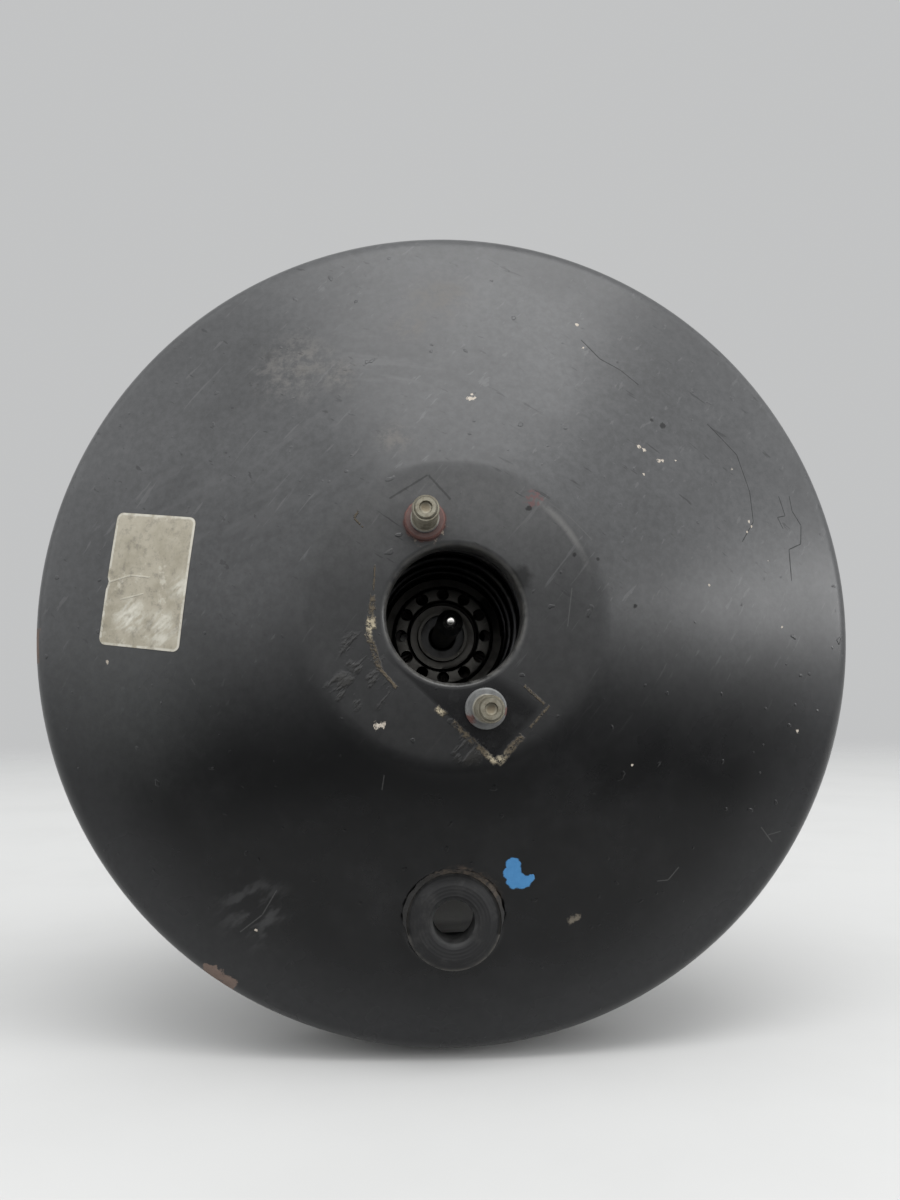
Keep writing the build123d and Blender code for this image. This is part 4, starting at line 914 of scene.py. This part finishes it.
scores = paint.most(paint.streak(start, end, 0.5, 0.7, 0.6, 500) for start, end in (
    ((65.8, -95.3, -84.2), (69.6, -94.4, -84.1)), ((69.6, -94.4, -84.1), (73.2, -94.7, -80.0)),
    ((102.9, -89.1, -68.5), (107.4, -86.5, -73.8)), ((105.7, -87.6, -71.3), (110.7, -86.3, -70.3)),
    ((-82.0, -103.8, -18.8), (-80.6, -104.0, -21.0)), ((-21.3, -115.4, -48.2), (-22.0, -113.7, -52.8)),
    ((-55.2, -97.4, -84.9), (-60.2, -93.8, -93.2)), ((-60.2, -93.8, -93.2), (-67.6, -90.4, -99.1)),
    ((27.9, -117.6, 35.5), (35.9, -117.7, 30.0)),
    ((35.9, -117.7, 30.0), (42.7, -117.0, 23.0)), ((36.0, -117.9, 8.0), (34.4, -117.9, -4.0))))
paint.tint(paint.sum("MULTIPLY", scores, 0.5), (0.075, 0.075, 0.074))
bare = paint.most(paint.spot(place, radius * 0.85, 0.2, 1.7, 1100) for place, radius in (
    ((5.6, -108.8, 70.6), 1.1), ((7.0, -108.6, 70.9), 1.0), ((6.4, -108.4, 72.2), 0.7),
    ((61.6, -103.9, 56.4), 0.8), ((63.4, -103.6, 55.4), 0.9), ((68.2, -103.0, 52.0), 0.9),
    ((69.8, -102.6, 52.2), 0.7), ((74.5, -101.1, 52.6), 0.5), ((62.5, -106.1, 46.6), 0.6),
    ((95.9, -94.5, 51.6), 0.6), ((100.6, -95.6, 33.2), 0.7), ((101.6, -95.6, 31.6), 0.6),
    ((99.5, -96.4, 29.5), 0.4), ((43.9, -93.6, 102.5), 0.8), ((45.3, -96.6, 92.9), 0.6),
    ((83.4, -103.7, 10.6), 0.5), ((107.0, -94.6, 19.6), 0.5), ((111.1, -93.7, -2.3), 0.5),
    ((-23.4, -117.9, -33.6), 1.4), ((-21.8, -117.9, -33.3), 1.2), ((-44, -99, 80), 0.7),
    ((116.7, -89.5, -37.0), 0.8), ((55.5, -108.1, -46.4), 0.5), ((-111.4, -93.3, -13.3), 0.7),
    ((-62.4, -91.8, -98.2), 0.6), ((-50, -100, 74), 0.4), ((-86, -92, -60), 0.4)))
bare = paint.both(bare, paint.ramp(paint.noise(820, 4, 0.7), 0.40, 0.48))
flake = paint.most(paint.spot(place, radius, 0.6, 1.1, 700) for place, radius in (
    ((37.6, -96.8, -95.3), 1.7), ((39.4, -96.4, -94.8), 1.5)))
flake_colour = paint.tinted(paint.noise(900, 3, 0.6), (0.12, 0.10, 0.075), (0.27, 0.24, 0.19))
paint.tint(paint.sum("MULTIPLY", flake, 0.55), flake_colour)
paint.tint(bare, paint.tinted(paint.noise(1100, 3, 0.6), (0.22, 0.18, 0.14), (0.62, 0.57, 0.50)))
paint.matt(bare, 0.8)
dab = paint.most(paint.spot(place, radius, 0.15, 0.3, 500) for place, radius in (
    ((18.2, -106.0, -76.8), 2.6), ((18.4, -105.2, -79.4), 3.3), ((19.3, -104.4, -81.6), 3.4),
    ((21.6, -103.9, -82.4), 2.7), ((23.6, -103.8, -81.2), 1.7)))
dab = paint.both(dab, paint.sum("SUBTRACT", 1.0, paint.spot((23.0, -104.9, -78.0), 2.6, 0.15, 0.3, 500)))
dab_colour = paint.tinted(paint.noise(420, 4, 0.7), (0.036, 0.155, 0.345), (0.075, 0.245, 0.480))
paint.tint(paint.sum("MULTIPLY", dab, 0.96), dab_colour)
paint.matt(dab, 0.4)
paint.raise_by(dab, 0.12)
nibs = paint.ramp(paint.noise(300, 1, 0.4, paint.stretched((1, 1, 1), shift=(0.7, 0.2, 0.4))), 0.74, 0.80)
paint.raise_by(nibs, 0.12)
placed("front_shell_pressing", front_mesh, "housing", paint.done(), "black_paint", "front_shell", crease=50)

# Lanced tabs. Short tongues of the front shell's own sheet, cut in its rim and bent in behind the rear
# shell's flange, where they lock the two shells together.
tab_paint = dipped_paint("tab_paint").done()
TAB_LENGTH = 5
TAB_MIDDLE = 139.75
tab_sizes = {"Radius": TAB_MIDDLE * MM, "Length": TAB_LENGTH * MM, "Width": TAB_WIDTH * MM,
             "Sheet": TAB_SHEET * MM, "Depth": TAB_DEPTH * MM}
tab_mesh = tree_mesh("rim_tabs", rim_blocks, tab_sizes, [(0, 0, 0)])
placed("rim_tabs", tab_mesh, "housing", tab_paint, "black_paint", "front_shell")

# Label. A blank self-adhesive foil plate stuck on the left of the cone, following its curve. Its corners
# are rounded, one edge is nicked, and it has gone dirty and scuffed.
LABEL_CORNERS = ((-109.9, 36.2), (-81.9, 32.4), (-86.3, -10.7), (-114.6, -7.4))
LABEL_CORNER_RADIUS = 2.2
LABEL_SHEET = 0.15
LABEL_NICK = 0.9
LABEL_NICK_PLACE = 23.5
label_size = (28.3, 43.4)
label_corner_rows = [LABEL_CORNER_RADIUS * (1 - math.cos(math.pi / 2 * step / 6)) for step in range(7)]
label_straight = label_size[1] - 2 * LABEL_CORNER_RADIUS
label_rows = sorted(set(label_corner_rows)
                    | {LABEL_CORNER_RADIUS + label_straight * step / 30 for step in range(31)}
                    | {label_size[1] - row for row in label_corner_rows})
label_points = []
label_edge = []
for row in label_rows:
    to_end = max(0, LABEL_CORNER_RADIUS - min(row, label_size[1] - row))
    inset = LABEL_CORNER_RADIUS - math.sqrt(max(0, LABEL_CORNER_RADIUS ** 2 - to_end ** 2))
    nick = max(0, LABEL_NICK - abs(row - LABEL_NICK_PLACE) * 0.6)
    for step in range(21):
        from_left = inset + nick + (label_size[0] - 2 * inset - nick) * step / 20
        across_label = from_left / label_size[0]
        from_sides = min(from_left - inset - nick, label_size[0] - inset - from_left)
        label_edge.append(min(from_sides, row, label_size[1] - row))
        top = Vector(LABEL_CORNERS[0]).lerp(Vector(LABEL_CORNERS[1]), across_label)
        bottom = Vector(LABEL_CORNERS[3]).lerp(Vector(LABEL_CORNERS[2]), across_label)
        label_points.append(top.lerp(bottom, row / label_size[1]))
label_shape = bmesh.new()
label_sides = []
for lift in (LABEL_SHEET, -LABEL_SHEET):
    label_sides.append([
        label_shape.verts.new((point.x * MM, -(cone_height(point.length) + lift) * MM, point.y * MM))
        for point in label_points])
columns, rows = 21, len(label_rows)
for side in label_sides:
    for row in range(rows - 1):
        for column in range(columns - 1):
            first = row * columns + column
            below = first + columns
            label_shape.faces.new((side[first], side[first + 1], side[below + 1], side[below]))
edge_ring = list(range(columns)) + [row * columns + columns - 1 for row in range(1, rows)]
edge_ring += [(rows - 1) * columns + column for column in range(columns - 2, -1, -1)]
edge_ring += [row * columns for row in range(rows - 2, 0, -1)]
label_front, label_back = label_sides
for here, after in zip(edge_ring, edge_ring[1:] + edge_ring[:1]):
    label_shape.faces.new((label_front[here], label_front[after], label_back[after], label_back[here]))
bmesh.ops.recalc_face_normals(label_shape, faces=label_shape.faces)
label_mesh = bpy.data.meshes.new("blank_label")
label_shape.to_mesh(label_mesh)
label_shape.free()
edge_distance = label_mesh.attributes.new("from_edge", "FLOAT", "POINT")
edge_distance.data.foreach_set("value", label_edge + label_edge)
foil = Finish("label_foil", (0.315, 0.288, 0.225), 0.5)
stain = foil.ramp(foil.noise(75, 6, 0.7), 0.42, 0.68, 0, 0.8)
foil.tint(stain, (0.225, 0.203, 0.150))
foil.tint(foil.ramp(foil.noise(330, 6, 0.75), 0.48, 0.68, 0, 0.7), (0.14, 0.126, 0.098))
bright_place = foil.stretched((1, 1, 1), shift=(0.6, 0.1, 0.3))
foil.tint(foil.ramp(foil.noise(190, 5, 0.7, bright_place), 0.56, 0.70, 0, 0.6), (0.48, 0.455, 0.385))
scuff = foil.most(foil.spot(place, radius, 0.9, 0.7, 110) for place, radius in (
    ((-92, -99, -4), 9), ((-103, -97, 1), 8), ((-86, -101, 10), 6)))
scuff = foil.both(scuff, foil.strokes(55, 420, 4, (0.2, 0, 0.5), 0.34, 0.70))
foil.tint(foil.sum("MULTIPLY", scuff, 0.8), (0.58, 0.565, 0.50))
fold = foil.most(foil.streak(start, end, width, 0.6, ragged, 400) for start, end, width, ragged in (
    ((-112.3, -94.5, 12.6), (-104, -96.5, 14.6), 0.9, 0.6),
    ((-104, -96.5, 14.6), (-97, -98.5, 13.6), 0.7, 0.6),
    ((-107.5, -96, 6.8), (-99, -98, 8.4), 0.7, 0.7)))
foil.tint(foil.sum("MULTIPLY", fold, 0.22), (0.56, 0.54, 0.47))
foil.raise_by(fold, 0.10)
edge_node = foil.tree.nodes.new("ShaderNodeAttribute")
edge_node.attribute_name = "from_edge"
border = foil.ramp(foil.noise(260, 4, 0.7), 0.34, 0.56)
border = foil.both(foil.ramp(edge_node.outputs["Fac"], 1.0, 0.5), border)
foil.tint(foil.sum("MULTIPLY", border, 0.7), (0.52, 0.50, 0.44))
foil.matt(stain, 0.75)
foil.raise_by(foil.noise(260, 3, 0.6), 0.03)
placed("blank_label", label_mesh, "housing", foil.done(), "black_paint")

# Backing plate and master cylinder studs. A thick plated ring behind the pad holds two pressed-in M8
# studs; each has a collar that centres the cylinder's flange, a short shoulder and a rolled thread.
smooth_copy("stud_ring", "stud_backing_plate", "housing", plate_inside, "zinc_steel")
STUD_CIRCLE = 30
stud_angle = math.radians(107.6)
front_places = [(STUD_CIRCLE * math.cos(stud_angle) * side, STUD_CIRCLE * math.sin(stud_angle) * side)
                for side in (1, -1)]
front_core = [Vector(point) for point in (
    (0, 112.5), (6.2, 112.5), (6.2, 120.5), (5.7, 121), (4.4, 121), (4.4, 122.6), (4.0, 123),
    (THREAD_CORE, 123.6), (THREAD_CORE, 137.2), (2.9, 138), (1.9, 138), (1.6, 137.2), (0, 136.8))]
stud_steel = Finish("front_stud_plating", (0.235, 0.220, 0.175), 0.42, metallic=0.75)
stud_front = stud_steel.vector("DOT_PRODUCT", stud_steel.place, (0, -1, 0))
stud_steel.tint(stud_steel.ramp(stud_steel.noise(420, 5, 0.7), 0.42, 0.66, 0, 0.75), (0.130, 0.112, 0.078))
stud_steel.tint(stud_steel.ramp(stud_steel.noise(900, 4, 0.7), 0.58, 0.70, 0, 0.5), (0.36, 0.34, 0.28))
plated = stud_steel.ramp(stud_front, 0.1232, 0.1224)
plating = stud_steel.tinted(stud_steel.noise(500, 5, 0.7), (0.065, 0.067, 0.067), (0.27, 0.272, 0.268))
stud_steel.tint(plated, plating)
stud_steel.matt(plated, 0.56)
lower_rust = stud_steel.most(stud_steel.spot(place, radius, 0.4, 0.7, 500) for place, radius in (
    ((4.2, -119.5, -31.4), 2.6), ((15.0, -119.5, -29.5), 2.0)))
lower_rust = stud_steel.both(plated, lower_rust)
stud_up = stud_steel.vector("DOT_PRODUCT", stud_steel.place, (0, 0, 1))
upper_rust = stud_steel.both(stud_steel.ramp(stud_front, 0.1215, 0.1208), stud_steel.ramp(stud_up, 0, 0.001))
upper_rust = stud_steel.both(upper_rust, stud_steel.ramp(stud_steel.noise(430, 4, 0.7), 0.24, 0.40))
stud_rust = stud_steel.most([lower_rust, upper_rust])
rusty = stud_steel.tinted(stud_steel.noise(800, 4, 0.7), (0.055, 0.022, 0.019), (0.150, 0.070, 0.058))
stud_steel.tint(stud_rust, rusty)
stud_steel.covered(stud_rust)
stud_steel.matt(stud_rust, 0.85)
dimple = stud_steel.most(stud_steel.spot(place, 1.7, 0.5, 0.3, 600) for place in (
    (-9.1, -137, 28.6), (9.1, -137, -28.6)))
stud_steel.tint(stud_steel.sum("MULTIPLY", dimple, 0.6), (0.15, 0.115, 0.068))
stud_steel.raise_by(stud_steel.noise(900, 3, 0.6), 0.03)
front_zinc = stud_steel.done()
front_studs = [lathe("front_stud", front_core, even_turn(48), place) for place in front_places]
front_threads = tree_mesh(
    "front_thread", thread_tree("rolled_thread_front", front_zinc),
    {"Radius": THREAD_MIDDLE * MM, "Pitch": THREAD_PITCH * MM, "Length": 13.2 * MM,
     "Ridge": THREAD_RIDGE * MM, "Turn": math.pi / 2},
    [(x, -123.9, y) for x, y in front_places])
placed("front_stud_set", joined("front_stud_set", front_studs + [front_threads]), "housing", front_zinc,
       "zinc_steel", "master_cylinder_studs")

# Grommet. A moulded rubber bush snapped into the punched seat; the vacuum check valve's stem goes in it.
# Road dirt has packed into the gap above it, where the seat is sunk deepest in the cone.
DIRT_STEPS = 96
DIRT_START = -16
grommet_rubber = black_rubber("grommet_rubber", 0.0092, 0.25)
grommet_rubber.shader.inputs["Specular IOR Level"].default_value = 0.25
in_plan = grommet_rubber.vector("MULTIPLY", grommet_rubber.place, (1, 0, 1))
from_bore = grommet_rubber.vector("DISTANCE", in_plan, (GROMMET[0] * MM, 0, GROMMET[1] * MM))
ripple = grommet_rubber.sum("SINE", grommet_rubber.sum("MULTIPLY", from_bore, 2 * math.pi / (1.1 * MM)))
grommet_rubber.raise_by(ripple, 0.025)
# Lighter rings at the bore's chamfer and at the flange's outer edge: rubbed rubber, partly painted highlights
# where those edges catch the light.
bore_highlight_and_wear = grommet_rubber.ramp(grommet_rubber.noise(300, 4, 0.7), 0.3, 0.6)
bore_highlight_and_wear = grommet_rubber.both(grommet_rubber.ramp(from_bore, 0.0080, 0.0066), bore_highlight_and_wear)
grommet_rubber.tint(grommet_rubber.sum("MULTIPLY", bore_highlight_and_wear, 0.5), (0.050, 0.050, 0.049))
flange_highlight_and_wear = grommet_rubber.ramp(grommet_rubber.noise(260, 4, 0.7), 0.32, 0.6)
flange_highlight_and_wear = grommet_rubber.both(grommet_rubber.ramp(from_bore, 0.0138, 0.0148), flange_highlight_and_wear)
grommet_rubber.tint(grommet_rubber.sum("MULTIPLY", flange_highlight_and_wear, 0.75), (0.066, 0.062, 0.055))
grommet_rubber = grommet_rubber.done()
smooth_copy("grommet_bush", "check_valve_grommet", "housing", grommet_rubber, "rubber")
grommet_face = -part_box("check_valve_grommet")[0][1] / MM
grommet_edge = (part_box("check_valve_grommet")[1][0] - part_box("check_valve_grommet")[0][0]) / 2 / MM
dirt_shape = bmesh.new()
dirt_rows = []
for step in range(DIRT_STEPS + 1):
    angle = math.radians(DIRT_START + (180 - 2 * DIRT_START) * step / DIRT_STEPS)
    end = min(step, DIRT_STEPS - step) / DIRT_STEPS
    spread = min(1, end * 16) * (1 + 0.25 * math.sin(7 * angle) * math.sin(13 * angle + 1))
    reach = SEAT_RADIUS - grommet_edge + 0.3 + 0.7 * max(0, math.sin(angle))
    inner, outer = grommet_edge - 0.3, grommet_edge - 0.25 + reach * spread
    row = []
    for radius, level in ((inner, "seat"), (outer, "seat"), (outer, "cone"), (inner, "face")):
        x = GROMMET[0] + radius * math.cos(angle)
        y = GROMMET[1] + radius * math.sin(angle)
        heights = {"seat": SEAT_HEIGHT - 0.2, "face": max(SEAT_HEIGHT, grommet_face - 0.9),
                   "cone": max(SEAT_HEIGHT, cone_height(math.hypot(x, y)) - 0.3)}
        row.append(dirt_shape.verts.new((x * MM, -heights[level] * MM, y * MM)))
    dirt_rows.append(row)
for row, following in zip(dirt_rows, dirt_rows[1:]):
    for side in range(4):
        dirt_shape.faces.new((row[side], row[(side + 1) % 4], following[(side + 1) % 4], following[side]))
dirt_shape.faces.new(dirt_rows[0])
dirt_shape.faces.new(dirt_rows[-1][::-1])
bmesh.ops.recalc_face_normals(dirt_shape, faces=dirt_shape.faces)
dirt_mesh = bpy.data.meshes.new("seat_dirt")
dirt_shape.to_mesh(dirt_mesh)
dirt_shape.free()
dirt = Finish("packed_dirt", (0.013, 0.0125, 0.012), 0.95)
dirt_above = dirt.ramp(dirt.vector("DOT_PRODUCT", dirt.place, (0.4, 0, 1)), -0.086, -0.078)
dirt.tint(dirt.both(dirt_above, dirt.ramp(dirt.noise(520, 5, 0.7), 0.34, 0.60)), (0.066, 0.052, 0.040))
dirt.raise_by(dirt.noise(700, 4, 0.7), 0.35)
placed("seat_dirt", dirt_mesh, "housing", dirt.done(), "rubber")

# Floor and light. A pale floor that fades out in front and behind, an even bright room in front of the
# part and above it, two soft lamps whose reflections lie on the cone, and a plain pale backdrop all round.
FLOOR_HEIGHT = -0.1432
floor_mesh = bpy.data.meshes.new("floor")
FLOOR_REACH = 4
floor_corners = [(side * FLOOR_REACH, end * FLOOR_REACH, FLOOR_HEIGHT)
                 for side, end in ((-1, -1), (1, -1), (1, 1), (-1, 1))]
floor_mesh.from_pydata(floor_corners, [], [(0, 1, 2, 3)])
floor = bpy.data.objects.new("floor", floor_mesh)
bpy.context.scene.collection.objects.link(floor)
floor_paint = Finish("pale_floor", (0.53, 0.53, 0.525), 0.9)
floor_paint.tint(floor_paint.ramp(floor_paint.noise(9, 4, 0.6), 0.4, 0.7, 0, 0.5), (0.50, 0.50, 0.495))
floor_mesh.materials.append(floor_paint.done())
floor_depth = floor_paint.vector("DOT_PRODUCT", floor_paint.place, (0, 1, 0))
floor_front = floor_paint.ramp(floor_depth, -0.24, -0.17)
floor_shown = floor_paint.both(floor_front, floor_paint.ramp(floor_depth, 2.2, 0.5))
floor_paint.put(floor_paint.shader.inputs["Alpha"], floor_shown)

world = bpy.data.worlds.new("room")
bpy.context.scene.world = world
world.use_nodes = True
sky = world.node_tree
backdrop = sky.nodes["Background"]
backdrop.inputs["Color"].default_value = (0.985, 0.995, 1.0, 1)
direction = sky.nodes.new("ShaderNodeTexCoord")
split = sky.nodes.new("ShaderNodeSeparateXYZ")
sky.links.new(direction.outputs["Generated"], split.inputs[0])


def room_ramp(value, low, high, out_low, out_high):
    """A soft step from one strength to another."""
    node = sky.nodes.new("ShaderNodeMapRange")
    node.interpolation_type = "SMOOTHSTEP"
    names = ("Value", "From Min", "From Max", "To Min", "To Max")
    for name, given in zip(names, (value, low, high, out_low, out_high)):
        if isinstance(given, bpy.types.NodeSocket):
            sky.links.new(given, node.inputs[name])
        else:
            node.inputs[name].default_value = given
    return node.outputs["Result"]


def room_product(first, second):
    """The strength of the room where one thing dims another."""
    node = sky.nodes.new("ShaderNodeMath")
    node.operation = "MULTIPLY"
    sky.links.new(first, node.inputs[0])
    sky.links.new(second, node.inputs[1])
    return node.outputs[0]


room_front = room_ramp(split.outputs["Z"], -0.30, 0.16, 0.05, 1.85)
viewer_low = room_ramp(split.outputs["Z"], 0.26, 0.06, 1.0, 0.35)
room_front = room_product(room_front, room_ramp(split.outputs["Y"], -0.97, -0.84, viewer_low, 1.0))
room_round = room_ramp(split.outputs["Y"], -0.15, 0.25, room_front, 0.55)
plain_backdrop = room_ramp(split.outputs["Z"], -0.34, -0.14, 0.78, 0.55)
seen_straight = sky.nodes.new("ShaderNodeLightPath").outputs["Is Camera Ray"]
sky.links.new(room_ramp(seen_straight, 0.0, 1.0, room_round, plain_backdrop), backdrop.inputs["Strength"])


def soft_lamp(name, place, aim, width, height, power):
    """A soft rectangular lamp turned towards a point."""
    lamp = bpy.data.lights.new(name, "AREA")
    lamp.shape = "RECTANGLE"
    lamp.size = width
    lamp.size_y = height
    lamp.energy = power
    holder = bpy.data.objects.new(name, lamp)
    bpy.context.scene.collection.objects.link(holder)
    holder.location = place
    holder.rotation_euler = (Vector(aim) - Vector(place)).to_track_quat("-Z", "Y").to_euler()


soft_lamp("side_lamp", (1.45, -0.62, 0.21), (0.1, -0.1, 0), 0.6, 0.30, 5.4)
soft_lamp("overhead_lamp", (0.12, -0.65, 1.15), (0, -0.1, 0.1), 1.1, 0.5, 9.0)

# Camera, at the place the photograph was taken from. The place, the turn and the lens were worked out
# from the ellipses of the rim and of the spigot hole.
camera_data = bpy.data.cameras.new("camera")
camera_data.sensor_fit = "VERTICAL"
camera_data.sensor_height = 36.0
camera_data.lens = 27.03
camera_data.clip_start = 0.01
camera = bpy.data.objects.new("camera", camera_data)
bpy.context.scene.collection.objects.link(camera)
ahead = Vector((0.0452, 0.9930, 0.1095)).normalized()
right = Vector((0.99898, -0.0449, -0.0050)).normalized()
above = right.cross(ahead)
camera.matrix_world = Matrix((
    (right.x, above.x, -ahead.x, -0.0138),
    (right.y, above.y, -ahead.y, -0.3898),
    (right.z, above.z, -ahead.z, -0.0258),
    (0, 0, 0, 1)))
bpy.context.scene.camera = camera

bpy.context.scene.view_settings.view_transform = "Standard"
